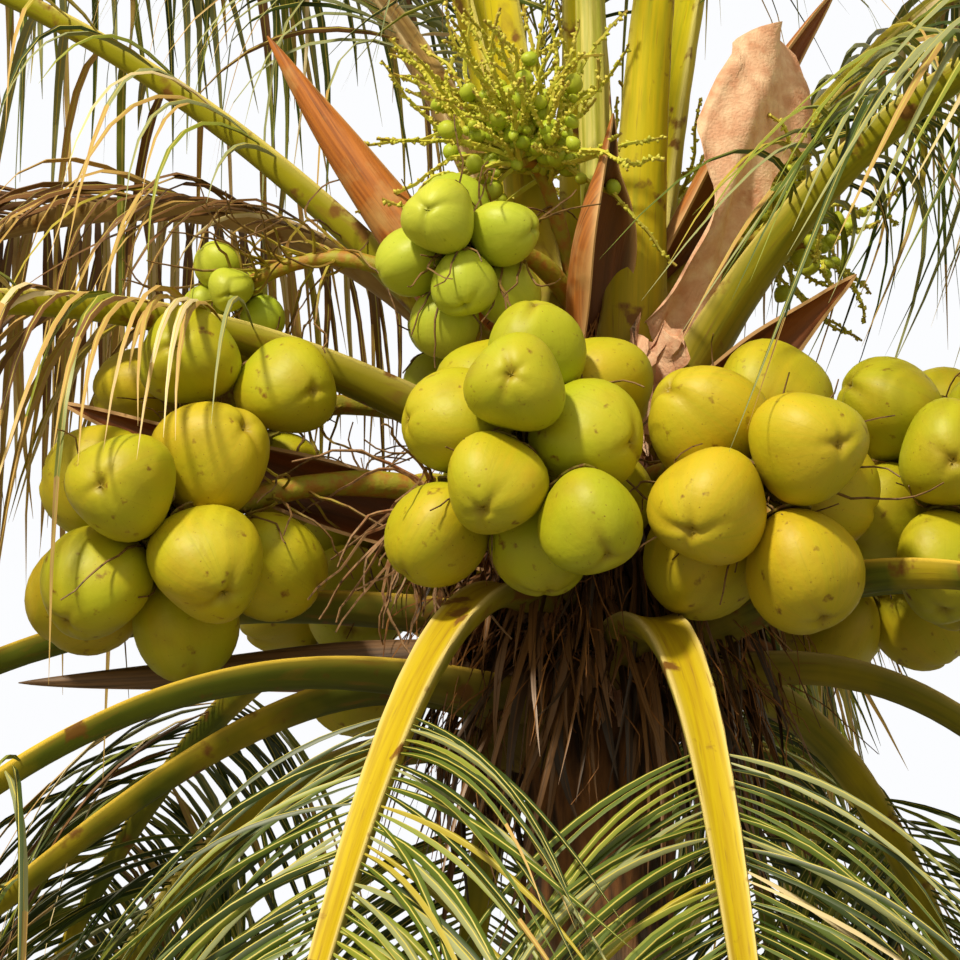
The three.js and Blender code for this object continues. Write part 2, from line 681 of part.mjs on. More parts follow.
function sheathFrame(sheath) {
  const ahead = heading(sheath.aim, sheath.pitch);
  const bow = heading(sheath.open);
  bow.addScaledVector(ahead, -bow.dot(ahead)).normalize();
  return { start: seat(sheath.turn, sheath.base), ahead, bow, across: ahead.clone().cross(bow) };
}

// A boat's section at a share of its length: an outer arc and, a wall's thickness inside it, an inner one.
function sheathOutline(sheath, share, grow) {
  const { start, ahead, bow, across } = sheathFrame(sheath);
  const swell = sheath.swell ?? SHEATH_SWELL;
  const half = sheath.width * (0.34 + 0.66 * Math.sin(Math.PI * Math.min(1, 0.15 + share) ** swell)) + grow;
  const middle = start.addScaledVector(ahead, share * sheath.length);
  middle.addScaledVector(bow, -0.1 * sheath.length * share * (1 - share));
  const wall = SHEATH_WALL + 2 * grow;
  const arc = (radius, lift) =>
    [-80, -28, 28, 80].map((angle) => {
      const spot = middle.clone().addScaledVector(across, radius * Math.sin(radians(angle)));
      return spot.addScaledVector(bow, 0.5 * half + lift - 0.8 * radius * Math.cos(radians(angle)));
    });
  return [...arc(half, -grow), ...arc(half - wall, 0).reverse()];
}

function sheathSolid(sheath, grow) {
  const { start, ahead } = sheathFrame(sheath);
  const outlines = [0, 0.25, 0.55, 0.85].map((share) => sheathOutline(sheath, share, grow));
  return loft(outlines, start.addScaledVector(ahead, sheath.length + grow));
}

function claimSheath(sheath) {
  const { start, ahead } = sheathFrame(sheath);
  const spot = (share) => start.clone().addScaledVector(ahead, share * sheath.length);
  keepOut(sheath.name, spot(0.1), spot(0.8), 0.85 * sheath.width);
  keepOut(sheath.name, spot(0.8), spot(1), 0.4 * sheath.width);
}

// Net

// A corner of a net's sheet, on its inner or its outer side.
function netSpot(net, i, j, steps, inner, grow) {
  const turn = lerp(net.from, net.to, i / steps);
  const ragged = j === steps ? 0.22 * (net.high - net.low) * chance(700 + 9 * NETS.indexOf(net) + i) : 0;
  const level = lerp(net.low, net.high, j / steps) - ragged;
  const foot = trunkRadius(CROWN_HEIGHT + (net.lean > 0 ? net.low : level)) + (net.lean * j) / steps;
  const off = inner ? CLEAR - grow : net.out * (0.4 + (0.6 * j) / steps) + grow;
  return heartPoint(turn, foot + off, level);
}

function netSolid(net, grow) {
  const skin = new Skin();
  const steps = 2;
  const counts = Array.from({ length: steps + 1 }, (_, k) => k);
  const column = (i, inner) => counts.map((j) => skin.add(netSpot(net, i, j, steps, inner, grow)));
  const sheet = (inner) => counts.map((i) => column(i, inner));
  const outside = sheet(false);
  const inside = sheet(true);
  for (let i = 0; i < steps; i++) {
    for (let j = 0; j < steps; j++) {
      skin.quad(outside[i][j], outside[i + 1][j], outside[i + 1][j + 1], outside[i][j + 1]);
      skin.quad(inside[i][j + 1], inside[i + 1][j + 1], inside[i + 1][j], inside[i][j]);
    }
    skin.quad(inside[i][0], inside[i + 1][0], outside[i + 1][0], outside[i][0]);
    skin.quad(outside[i][steps], outside[i + 1][steps], inside[i + 1][steps], inside[i][steps]);
    skin.quad(outside[0][i], outside[0][i + 1], inside[0][i + 1], inside[0][i]);
    skin.quad(inside[steps][i], inside[steps][i + 1], outside[steps][i + 1], outside[steps][i]);
  }
  return skin.solid();
}

// The newest leaf, still folded, which stands on the tip of the heart.
function spearSolid(grow) {
  const foot = heartPoint(0, 0, TRUNK.heartTop + CLEAR);
  const drift = (share) => new THREE.Vector3(-70 * share ** 2, 40 * share ** 2, 1650 * share);
  const path = [0, 0.25, 0.55, 0.85, 1].map((share) => foot.clone().add(drift(share)));
  return stem(path, [27, 30, 24, 12, 4], 6, grow);
}

// The palm put together. Each piece is cut clear of those before it, and loose scraps are dropped.

const pieces = [];

function apart(a, b) {
  return [0, 1, 2].some((k) => a.min[k] > b.max[k] + 1 || b.min[k] > a.max[k] + 1);
}

function place(name, finish, make) {
  let solid = make(0);
  for (const earlier of pieces) {
    if (apart(solid.boundingBox(), earlier.solid.boundingBox())) continue;
    if (solid.intersect(earlier.grown).isEmpty()) continue;
    solid = solid.subtract(earlier.grown);
  }
  const [largest] = solid.decompose().sort((a, b) => b.volume() - a.volume());
  pieces.push({ name, finish, solid: largest, grown: make(CLEAR) });
}

claimTrunk();
const ribs = new Map(FRONDS.map((frond) => [frond, midrib(frond)]));
ribs.forEach((frames, frond) => claimRib(frond, frames));
SHEATHS.forEach(claimSheath);

const strands = CLUSTERS.at(-1);
const strandsMiddle = heartPoint(strands.turn, strands.reach, strands.level - STRANDS.drop);
keepOut(strands.name, strandsMiddle, strandsMiddle, STRANDS.radius);

const stalks = new Map([...BUNCHES, ...CLUSTERS].map((one) => [one, stalkPath(one)]));
stalks.forEach((path, one) => claimStalk(one, path));

const nuts = settleNuts();
for (const nut of nuts) keepOut(nut.bunch.name, nut.place, nut.place, 1.08 * nut.radius);

place("trunk", "bark", trunkSolid);

for (const frond of FRONDS) {
  const frames = ribs.get(frond);
  const rows = leafletRows(frond, frames);
  const piece = (from, to) => (grow) => frondSolid(frond, frames, rows, from, to, grow);
  if (frond.split) {
    place(`${frond.name}_stalk`, "frond", piece(0, SPLIT_SHARE));
    place(`${frond.name}_blade`, "frond", piece(SPLIT_SHARE, 1));
  } else place(frond.name, "frond", piece(0, 1));
}

for (const bunch of BUNCHES) {
  const own = nuts.filter((nut) => nut.bunch === bunch);
  const finish = bunch.radius < 80 ? "young_nut" : "nut";
  place(bunch.name, finish, (grow) => bunchSolid(bunch, stalks.get(bunch), own, grow));
}

for (const cluster of CLUSTERS) {
  const finish = cluster.buttons > 0 ? "flower" : "dry";
  place(cluster.name, finish, (grow) => clusterSolid(cluster, stalks.get(cluster), grow));
}

for (const sheath of SHEATHS) place(sheath.name, "dry", (grow) => sheathSolid(sheath, grow));
for (const net of NETS) place(net.name, "net", (grow) => netSolid(net, grow));
place("spear_leaf", "frond", spearSolid);

const materials = Object.fromEntries(
  Object.entries(COLOURS).map(([finish, [color, roughness]]) => [
    finish,
    new THREE.MeshStandardMaterial({ name: finish, color, roughness, metalness: 0 }),
  ]),
);

function meshOf({ name, finish, solid }) {
  const { numProp, vertProperties, triVerts } = solid.getMesh();
  const spots = [];
  for (let i = 0; i < vertProperties.length; i += numProp) spots.push(...vertProperties.subarray(i, i + 3));
  const geometry = new THREE.BufferGeometry();
  geometry.setAttribute("position", new THREE.Float32BufferAttribute(spots, 3));
  geometry.setIndex(new THREE.BufferAttribute(triVerts, 1));
  geometry.computeVertexNormals();
  const mesh = new THREE.Mesh(geometry, materials[finish]);
  mesh.name = name;
  return mesh;
}

const palm = new THREE.Group();
palm.name = "coconut_palm";
palm.add(...pieces.map(meshOf));

export default palm;
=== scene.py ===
# %% [markdown]
# # A fruiting coconut palm
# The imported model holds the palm's solids at their real size: a trunk, 25 fronds, bunches of nuts, flower
# clusters, dry sheaths and net. They are coarse, because a physics engine has to carry them. This notebook
# grows the palm again over them by the same rule, with every leaflet, twig and nut that the eye would miss.
# Lengths are in millimetres until a mesh is made, because a grower thinks of a nut as 190 across. A turn of
# 270 degrees points at the camera.

import math
from types import SimpleNamespace

import bmesh
import bpy
import numpy as np
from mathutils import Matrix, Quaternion, Vector
from mathutils.geometry import intersect_point_line


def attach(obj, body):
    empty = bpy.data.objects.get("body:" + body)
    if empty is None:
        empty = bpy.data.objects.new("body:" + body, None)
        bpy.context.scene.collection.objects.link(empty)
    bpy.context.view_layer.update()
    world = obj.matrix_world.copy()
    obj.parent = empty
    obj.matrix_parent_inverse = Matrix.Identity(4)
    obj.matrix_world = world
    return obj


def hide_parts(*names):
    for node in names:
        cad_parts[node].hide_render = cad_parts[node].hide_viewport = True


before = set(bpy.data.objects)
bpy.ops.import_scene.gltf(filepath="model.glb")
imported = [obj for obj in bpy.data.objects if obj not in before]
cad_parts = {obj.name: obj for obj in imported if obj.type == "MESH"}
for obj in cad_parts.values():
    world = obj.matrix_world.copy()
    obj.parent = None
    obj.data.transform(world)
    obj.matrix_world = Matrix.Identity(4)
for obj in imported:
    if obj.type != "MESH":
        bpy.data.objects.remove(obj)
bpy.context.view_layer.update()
MM = 0.001
UP = Vector((0, 0, 1))
print("CAD nodes:", len(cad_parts))

# %% [markdown]
# ## Camera and light
# The photograph was taken from below with a long lens, so the camera stands low and far off and looks up.
# The sun comes from the upper left of the camera and a pale sky fills the shadows. The sky lights less from
# under the horizon, and the floor throws no light back, so that the undersides stay as deep as they are
# over grass. The Standard view keeps the strong yellows, which a filmic one would wash out.

# %% Camera and sun
scene = bpy.context.scene
scene.view_settings.view_transform = "Standard"
SEEN_FROM = Vector((-0.022, -8.663, 3.091))
LOOKED_AT = Vector((-0.022, 0.070, 5.268))
lens = bpy.data.cameras.new("long_lens")
lens.lens = 187
lens.sensor_width = 36
lens.clip_end = 1000
camera = bpy.data.objects.new("camera", lens)
camera.location = SEEN_FROM
camera.rotation_euler = (LOOKED_AT - SEEN_FROM).to_track_quat("-Z", "Y").to_euler()
scene.collection.objects.link(camera)
scene.camera = camera

sunlight = bpy.data.lights.new("sunlight", "SUN")
sunlight.energy = 4.3
sunlight.angle = math.radians(5)
sunlight.color = (1.0, 0.91, 0.7)
sun = bpy.data.objects.new("sun", sunlight)
sun.rotation_euler = Vector((0.42, 0.72, -0.78)).to_track_quat("-Z", "Y").to_euler()
scene.collection.objects.link(sun)


# %% [markdown]
# ## Helpers for the finishes
# Nodes are added by one small function. Colours are written as a painter reads them, in sRGB, and turned to
# the linear values that the renderer mixes. Blotches and a fine bump are on nearly every part of a palm, so
# each of them is a function too, with its size in millimetres.


# %% Nodes, colours and patterns
def add(tree, kind, inputs=None, **settings):
    """Adds one node with its settings. An input takes a value, a socket, or the node that feeds it."""
    node = tree.nodes.new(kind)
    for name, value in settings.items():
        setattr(node, name, value)
    for key, value in (inputs or {}).items():
        socket = node.inputs[key] if isinstance(key, int) else next(
            s for s in node.inputs if s.enabled and s.name == key
        )
        if isinstance(value, bpy.types.Node):
            value = next(s for s in value.outputs if s.enabled)
        if isinstance(value, bpy.types.NodeSocket):
            tree.links.new(value, socket)
        else:
            socket.default_value = value
    return node


def colour(code):
    """Linear values for an sRGB colour such as #8b7a66."""
    shares = [int(code[i:i + 2], 16) / 255 for i in (1, 3, 5)]
    return (*[s / 12.92 if s <= 0.04045 else ((s + 0.055) / 1.055) ** 2.4 for s in shares], 1.0)


def new_finish(name, roughness, plain=None):
    """A material, its node tree and its shader."""
    material = bpy.data.materials.new(name)
    material.use_nodes = True
    shader = material.node_tree.nodes["Principled BSDF"]
    shader.inputs["Roughness"].default_value = roughness
    if plain:
        shader.inputs["Base Color"].default_value = colour(plain)
    return material, material.node_tree, shader


def mottle(tree, under, tint, size, low, high, vector, detail=4.0):
    """Lays a tint over a colour in blotches of a size in millimetres, as a noise goes from low to high."""
    noise = add(tree, "ShaderNodeTexNoise", {"Vector": vector, "Scale": 1000 / size, "Detail": detail})
    mask = add(tree, "ShaderNodeMapRange", {"Value": noise, "From Min": low, "From Max": high})
    return add(tree, "ShaderNodeMix", {"Factor": mask, "A": under, "B": colour(tint)}, data_type="RGBA")


def rough_skin(tree, shader, size, depth, vector):
    """Gives a shader's surface a bump of a size and a depth in millimetres."""
    noise = add(tree, "ShaderNodeTexNoise", {"Vector": vector, "Scale": 1000 / size, "Detail": 6.0})
    bump = add(tree, "ShaderNodeBump", {"Height": noise, "Distance": depth * MM})
    tree.links.new(bump.outputs["Normal"], shader.inputs["Normal"])


def paint(tree, shader, tone):
    """Gives a shader the colour that a mix of tones ends in."""
    tree.links.new(tone.outputs[2], shader.inputs["Base Color"])


# %% Sky
SKY_LIGHT = 0.85
GROUND_LIGHT = 0.4
SKY_SEEN = 1.0
HORIZON_BLUR = 0.1
sky = bpy.data.worlds.new("sky")
sky.use_nodes = True
scene.world = sky
tree = sky.node_tree
upward = add(tree, "ShaderNodeSeparateXYZ", {"Vector": add(tree, "ShaderNodeTexCoord").outputs["Generated"]})
strength = add(tree, "ShaderNodeMapRange", {
    "Value": upward.outputs["Z"], "From Min": -HORIZON_BLUR, "From Max": HORIZON_BLUR,
    "To Min": GROUND_LIGHT, "To Max": SKY_LIGHT,
})
seen = add(tree, "ShaderNodeLightPath").outputs["Is Camera Ray"]
strength = add(tree, "ShaderNodeMix", {"Factor": seen, "A": strength, "B": SKY_SEEN})
# The light is warm, and the sky that the camera sees is nearly white.
haze = add(tree, "ShaderNodeMix", {
    "Factor": seen, "A": colour("#fff3d2"), "B": colour("#fcfdff"),
}, data_type="RGBA")
background = tree.nodes["Background"]
tree.links.new(haze.outputs[2], background.inputs["Color"])
tree.links.new(strength.outputs[0], background.inputs["Strength"])

# %% Floor
# Trowelled concrete, dull and nearly even, so that its edge melts into the sky and nothing on it draws the
# eye.
concrete, tree, shader = new_finish("pale_floor", 0.8)
here = add(tree, "ShaderNodeTexCoord").outputs["Object"]
paint(tree, shader, mottle(tree, colour("#d3d9ee"), "#d0d6eb", 900, 0.4, 0.6, here))
FLOOR_REACH = 600
FLOOR_LEVEL = -0.002
floor_mesh = bpy.data.meshes.new("floor")
corners = [(x * FLOOR_REACH, y * FLOOR_REACH, FLOOR_LEVEL) for x, y in ((-1, -1), (1, -1), (1, 1), (-1, 1))]
floor_mesh.from_pydata(corners, [], [(0, 1, 2, 3)])
floor_mesh.materials.append(concrete)
floor = bpy.data.objects.new("floor", floor_mesh)
floor.visible_diffuse = False
floor.visible_glossy = False
scene.collection.objects.link(floor)

# %% [markdown]
# ## The rule that the palm grows by
# A crown looks right when all its parts leave one axis. So every place is given by a turn round the heart,
# a reach from its axis and a level above its middle, and the trunk's axis and radius are functions of
# height. `chance` gives the same number for the same seed every time.

# %% The trunk's rule
CROWN = 5200
TRUNK = SimpleNamespace(
    lean=190, drift=70, upright_top=500, radius=138, taper=0.1, flare=118, flare_height=210,
    swell=26, swell_below=80, swell_spread=260, heart_top=410, tip=30,
)
SEAT_LOWEST = -380
SEAT_BELOW_TIP = 90
SEAT_DEPTH = 0.55


def chance(seed):
    """A number from 0 to 1, the same for the same seed every time."""
    wide = math.sin(seed * 12.9898 + 4.1414) * 43758.5453
    return wide - math.floor(wide)


def clamp(x, low, high):
    return max(low, min(high, x))


def heading(turn, pitch=0.0):
    """A unit vector from a turn and a pitch in degrees."""
    t, p = math.radians(turn), math.radians(pitch)
    return Vector((math.cos(p) * math.cos(t), math.cos(p) * math.sin(t), math.sin(p)))


def trunk_axis(z):
    """The middle of the trunk at a height. It leans and drifts on the way up and ends upright."""
    t = clamp(z / (CROWN - TRUNK.upright_top), 0, 1)
    shift = t * t * (3 - 2 * t)
    return Vector((TRUNK.lean * shift, TRUNK.drift * shift, z))


def trunk_radius(z):
    """A flared foot, a shaft that tapers, a swollen heart, and a round end at its tip."""
    level = z - CROWN
    shaft = TRUNK.radius * (1 - TRUNK.taper * z / CROWN)
    flare = TRUNK.flare * math.exp(-z / TRUNK.flare_height)
    swell = TRUNK.swell * math.exp(-(((level + TRUNK.swell_below) / TRUNK.swell_spread) ** 2))
    closing = clamp(level / TRUNK.heart_top, 0, 1)
    return (shaft + flare + swell - TRUNK.tip) * math.sqrt(1 - closing ** 2) + TRUNK.tip


def heart_point(turn, reach, level):
    """A place given by its turn round the heart, its reach from the axis and its level above the middle."""
    return trunk_axis(CROWN) + heading(turn) * reach + UP * level


def seat(turn, level):
    """Where a stalk or a sheath is rooted, inside the heart."""
    low = clamp(level, SEAT_LOWEST, TRUNK.heart_top - SEAT_BELOW_TIP)
    return heart_point(turn, SEAT_DEPTH * trunk_radius(CROWN + low), low)


# %% [markdown]
# ## Making a mesh
# Limbs, sheaths and net are skins: closed rings of points, one after another. A `Skin` gathers many of
# them, so that one object holds all of a kind, and carries numbers on its points for the materials to read,
# such as how far along a leaf stalk a point is. Each finished object sits at the origin with its place in
# its mesh.


# %% Skins
class Skin:
    """Gathers closed skins, which become one object."""

    def __init__(self):
        self.spots, self.faces, self.fields, self.count = [], [], {}, 0

    def rings(self, rows, **fields):
        """Adds closed rings of points with a face over each end. A field holds one number for each point."""
        n, m = rows.shape[:2]
        ids = self.count + np.arange(n * m).reshape(n, m)
        beside = np.roll(ids, -1, axis=1)
        quads = np.stack([ids[:-1], beside[:-1], beside[1:], ids[1:]], axis=-1).reshape(-1, 4)
        self.faces += quads.tolist() + [ids[0][::-1].tolist(), ids[-1].tolist()]
        self.spots.append(rows.reshape(-1, 3))
        for name, values in fields.items():
            self.fields.setdefault(name, []).append(np.broadcast_to(values, (n, m)).reshape(-1))
        self.count += n * m

    def make(self, name, finishes, slot, replaced):
        mesh = bpy.data.meshes.new(name)
        mesh.from_pydata((np.concatenate(self.spots) * MM).tolist(), [], self.faces)
        for key, values in self.fields.items():
            layer = mesh.attributes.new(key, "FLOAT", "POINT")
            layer.data.foreach_set("value", np.concatenate(values).astype(np.float32))
        solid = bmesh.new()
        solid.from_mesh(mesh)
        bmesh.ops.recalc_face_normals(solid, faces=solid.faces)
        solid.to_mesh(mesh)
        solid.free()
        return piece(name, mesh, finishes, replaced)


def piece(name, mesh, finishes, replaced, crease=50):
    """One finished object, which stands for the CAD nodes named. A mesh that a tree made has its finishes."""
    for finish in finishes:
        mesh.materials.append(finish)
    mesh.shade_smooth()
    mesh.set_sharp_from_angle(angle=math.radians(crease))
    made = bpy.data.objects.new(name, mesh)
    scene.collection.objects.link(made)
    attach(made, "root")
    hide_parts(*replaced)
    mesh.calc_loop_triangles()
    print(name, len(mesh.loop_triangles), "triangles")
    return made


# %% [markdown]
# ## Bark
# A coconut palm's trunk never thickens, so it keeps a ring for every leaf that it has dropped. The rings
# are shallow steps, slightly tilted, with dark grooves between them, and the skin between is grey, cracked
# upright and blotched with pale lichen. Relief this regular is a function of height and turn, so it is
# modelled, and the material only adds the grain.

# %% Bark finish
# Old corky bark, quite dull, so that only its grain and its dark ring scars catch the eye.
bark, tree, shader = new_finish("palm_bark", 0.92)
here = add(tree, "ShaderNodeTexCoord").outputs["Object"]
upright = add(tree, "ShaderNodeMapping", {"Vector": here, "Scale": (1, 1, 0.12)})
scar = add(tree, "ShaderNodeAttribute", attribute_name="scar").outputs["Fac"]
heart = add(tree, "ShaderNodeAttribute", attribute_name="heart").outputs["Fac"]
tone = mottle(tree, colour("#8d8070"), "#6d6052", 24, 0.42, 0.62, upright)
tone = mottle(tree, tone, "#a9a191", 120, 0.52, 0.68, here)
tone = mottle(tree, tone, "#4a3d31", 9, 0.58, 0.7, upright)
tone = add(tree, "ShaderNodeMix", {"Factor": scar, "A": tone, "B": colour("#3b3129")}, data_type="RGBA")
fibrous = mottle(tree, colour("#7d5028"), "#2c1a0d", 30, 0.4, 0.6, upright)
tone = add(tree, "ShaderNodeMix", {"Factor": heart, "A": tone, "B": fibrous}, data_type="RGBA")
paint(tree, shader, tone)
rough_skin(tree, shader, 7, 3.0, upright)

# %% Trunk
RING_GAP = 52
RING_TILT = 9
RING_STEP = 5.5
ROW_GAP = 11
TRUNK_SIDES = 64
HEART_DEPTH = 1000
HEART_BLEND = 240


def trunk_skin():
    """Rings of points up the trunk, with the steps, cracks and folds of the bark."""
    skin = Skin()
    turns = np.linspace(0, 360, TRUNK_SIDES, endpoint=False)
    round_about = np.radians(turns)
    levels = np.append(np.arange(0, CROWN + TRUNK.heart_top, ROW_GAP), CROWN + TRUNK.heart_top)
    rows, scars, hearts = [], [], []
    for z in levels:
        tilted = z + RING_TILT * np.sin(round_about + z / 700) + 4 * np.sin(3 * round_about + z / 90)
        share = (tilted / RING_GAP) % 1
        heart_share = clamp((z - (CROWN - HEART_DEPTH)) / HEART_BLEND, 0, 1)
        step = RING_STEP * (1 - share) ** 2 * (1 - heart_share)
        cracks = 1.8 * np.sin(17 * round_about + 2 * np.sin(z / 60)) * np.sin(29 * round_about + z / 45)
        folds = 9 * heart_share * np.sin(11 * round_about + z / 55) * np.sin(z / 38 + 5 * round_about)
        lobed = 1 + 0.07 * np.sin(5 * round_about) * math.exp(-z / 260)
        closing = clamp((CROWN + TRUNK.heart_top - z) / 80, 0, 1) * clamp(z / 20, 0, 1)
        radius = trunk_radius(z) * lobed + (step + cracks + folds - 2) * closing
        middle = trunk_axis(z)
        rows.append(np.stack([
            middle.x + radius * np.cos(round_about), middle.y + radius * np.sin(round_about),
            np.full_like(radius, z),
        ], axis=-1))
        scars.append(np.clip(1 - np.abs(share - 0.97) / 0.07, 0, 1) * (1 - heart_share))
        hearts.append(np.full_like(radius, heart_share))
    skin.rings(np.array(rows), scar=np.array(scars), heart=np.array(hearts))
    return skin


trunk_skin().make("trunk_bark", [bark], "bark", ["trunk"])

# %% [markdown]
# ## Fronds
# Each row says where a frond leaves the heart, its first angle above level, how far it bends down in all,
# and the share of its length where half of that is spent. Sixty steps along it give its midrib. Between the
# steps the places are read from a smooth curve, because a leaf stalk that shows its steps looks like a
# folded ruler.

# %% The fronds' rule
# Name, turn round the heart, level of its root, first angle above level, arch, knee, and sway to one side.
FRONDS = [
    ("hanging_1", 241, -270, 30, 104, 0.09, -22), ("hanging_2", 284, -350, 34, 112, 0.09, 6),
    ("hanging_3", 352, -330, 14, 100, 0.17, 10), ("hanging_4", 154, -440, 14, 96, 0.19, -8),
    ("hanging_5", 104, -350, 28, 112, 0.14, 10), ("hanging_6", 46, -350, 26, 108, 0.15, -10),
    ("low_1", 210, -370, 8, 82, 0.28, -8), ("low_2", 190, -470, 44, 92, 0.085, 4),
    ("low_3", 176, -215, 10, 76, 0.33, 6), ("low_4", 320, -300, 18, 88, 0.26, 8),
    ("low_5", 128, -225, 22, 88, 0.3, -6), ("low_6", 75, -235, 24, 90, 0.3, 8),
    ("low_7", 18, -215, 20, 84, 0.32, 8), ("middle_1", 190, 50, 28, 84, 0.36, 4),
    ("middle_2", 170, 130, 49, 78, 0.6, -2), ("middle_3", 336, 40, 60, 122, 0.4, 12),
    ("middle_4", 24, 160, 62, 92, 0.52, 6), ("middle_5", 150, 90, 52, 112, 0.36, 8),
    ("middle_6", 84, -30, 40, 88, 0.48, -4), ("middle_7", 130, 165, 66, 88, 0.56, -8),
    ("upper_1", 312, 190, 87, 74, 0.72, 8), ("upper_2", 202, 260, 84, 64, 0.8, -8),
    ("upper_3", 94, 265, 83, 80, 0.68, 8), ("upper_4", 52, 310, 77, 72, 0.75, 8),
    ("upper_5", 158, 325, 79, 68, 0.78, 8),
]
# A tier's start from the axis, its length, how stout its stalks are, and the share that is bare.
TIERS = {
    "hanging": (60, 3500, 1.0, 0.21), "low": (60, 3700, 1.1, 0.3),
    "middle": (60, 3850, 1.15, 0.24), "upper": (100, 3750, 1.2, 0.28),
}
# Fronds whose leaflets start nearer to the heart than those of their tier.
BARE = {
    "middle_1": 0.16, "middle_2": 0.18, "middle_3": 0.15, "middle_4": 0.15, "middle_5": 0.16,
    "upper_3": 0.2, "upper_4": 0.2, "upper_5": 0.2,
}
RIB_STEPS = 60
BLADE_END = 0.98


def new_frond(index, row):
    """One frond, with the place, way ahead, right side and upper side at every step of its midrib."""
    name, turn, base, rise, arch, knee, sway = row
    tier = name.split("_")[0]
    start, length, stout, bare = TIERS[tier]
    bare = BARE.get(name, bare)
    place = heart_point(turn, start, base)
    twist = math.radians(26 * (chance(index) - 0.5))
    frames = []
    for i in range(RIB_STEPS + 1):
        share = i / RIB_STEPS
        bent = share ** 2 / (share ** 2 + knee ** 2)
        ahead = heading(turn + sway * share, rise - arch * bent)
        right = Quaternion(ahead, twist * share) @ heading(turn + sway * share - 90)
        frames.append([place.copy(), ahead, right, right.cross(ahead)])
        place = place + ahead * (length / RIB_STEPS)
    nodes = [f"frond_{name}_stalk", f"frond_{name}_blade"] if tier == "hanging" else [f"frond_{name}"]
    return SimpleNamespace(
        name=name, index=index, tier=tier, length=length, stout=stout, bare=bare,
        nodes=nodes, frames=np.array(frames),
    )


def rib_at(frond, shares):
    """The midrib's places, ways ahead, right sides and upper sides at shares of its length."""
    at = np.clip(shares, 0, 1) * RIB_STEPS
    i = np.minimum(at.astype(int), RIB_STEPS - 1)
    t = (at - i)[:, None, None]
    a, b, c, d = (frond.frames[np.clip(i + k, 0, RIB_STEPS)] for k in (-1, 0, 1, 2))
    slope, bend, twist = c - a, 2 * a - 5 * b + 4 * c - d, 3 * b - a - 3 * c + d
    mixed = 0.5 * (2 * b + slope * t + bend * t ** 2 + twist * t ** 3)
    directions = mixed[:, 1:] / np.linalg.norm(mixed[:, 1:], axis=-1, keepdims=True)
    return mixed[:, 0], directions[:, 0], directions[:, 1], directions[:, 2]


def rib_width(frond, share):
    return frond.stout * (10 + 100 * (1 - share) ** 2.4 + 60 * np.exp(-share / 0.04))


def rib_height(frond, share):
    return frond.stout * (9 + 44 * (1 - share) ** 1.6 + 14 * np.exp(-share / 0.05))


fronds = [new_frond(index, row) for index, row in enumerate(FRONDS)]
print("fronds:", len(fronds))

# %% [markdown]
# ## Keeping pieces apart
# Nuts hang against each other and against the stalks, and leaflets part round them. Each limb claims short
# stretches of space with a radius, and what grows later is pushed off them or left out.

# %% What the limbs claim
# Name, the turn, reach and level of its middle, its nuts, their radius, and the turn and level of its root.
BUNCHES = [
    ("front", 254, 470, -10, 12, 87, 260, 23), ("front_right", 302, 480, -60, 8, 97, 290, -12),
    ("right", 343, 650, 10, 10, 92, 389, 32), ("left_upper", 184, 680, 140, 6, 82, 138, 93),
    ("left", 196, 790, -95, 9, 95, 196, -36.5), ("young_left", 228, 370, 400, 8, 60, 258, 310),
    ("small_left", 183, 660, 405, 5, 41, 229, 111), ("back_right", 32, 620, -20, 7, 94, 14, 16),
    ("back", 84, 600, 40, 7, 94, 72, 58), ("back_left", 134, 620, -20, 7, 94, 164, 16),
    ("young_back", 126, 400, 380, 5, 58, 80, 106),
]
# Name, the turn, reach and level of its middle, how far its wires rise, and the turn and level of its root.
CLUSTERS = [
    ("flowers_left", 236, 250, 600, 0.7, 236, 320), ("flowers_right", 4, 400, 500, 0.4, -2, 320),
    ("flowers_back", 76, 330, 560, 0.5, 70, 320), ("dry_strands", 222, 430, -55, -1.5, 240, -8.5),
]
# Name, the turn and level of its root, the turn and pitch it points in, length, width, and where it opens to.
SHEATHS = [
    ("upper_left", 200, 165, 188, 54, 900, 66, 60), ("front", 222, 40, 288, 66, 680, 94, 332),
    ("right", 322, 80, 332, 32, 540, 62, 285), ("upper_right", 352, 300, 6, 60, 820, 66, 330),
    ("left", 206, -60, 189, 14, 930, 66, 262), ("low_left", 180, -290, 183, 0, 960, 46, 90),
    ("back", 104, 300, 112, 40, 760, 54, 20),
]
CLAIM_HEIGHT = 200
CLAIM_STEPS = 3
STRANDS_BELOW = 90
STRANDS_ROOM = 75
claims = []


def bezier(a, b, c, steps):
    """Points along a curve that leaves a towards b and comes to c from b."""
    return [a.lerp(b, i / steps).lerp(b.lerp(c, i / steps), i / steps) for i in range(steps + 1)]


def stalk_path(bunch, steps):
    """Out of the heart, up and over, and down into the bunch."""
    half_way = (bunch.root_turn + bunch.turn) / 2
    over = heart_point(half_way, 0.62 * bunch.reach, bunch.level + 0.28 * bunch.reach)
    return bezier(seat(bunch.root_turn, bunch.root_level), over, bunch.middle, steps)


def new_bunch(name, turn, reach, level, root_turn, root_level, **more):
    bunch = SimpleNamespace(name=name, turn=turn, reach=reach, level=level, root_turn=root_turn,
                            root_level=root_level, middle=heart_point(turn, reach, level), **more)
    bunch.thick = 13 + 0.14 * bunch.radius if bunch.radius else 16
    return bunch


bunches = [new_bunch(*row[:4], *row[6:], count=row[4], radius=row[5]) for row in BUNCHES]
clusters = [new_bunch(*row[:4], *row[5:], radius=0, lift=row[4]) for row in CLUSTERS]

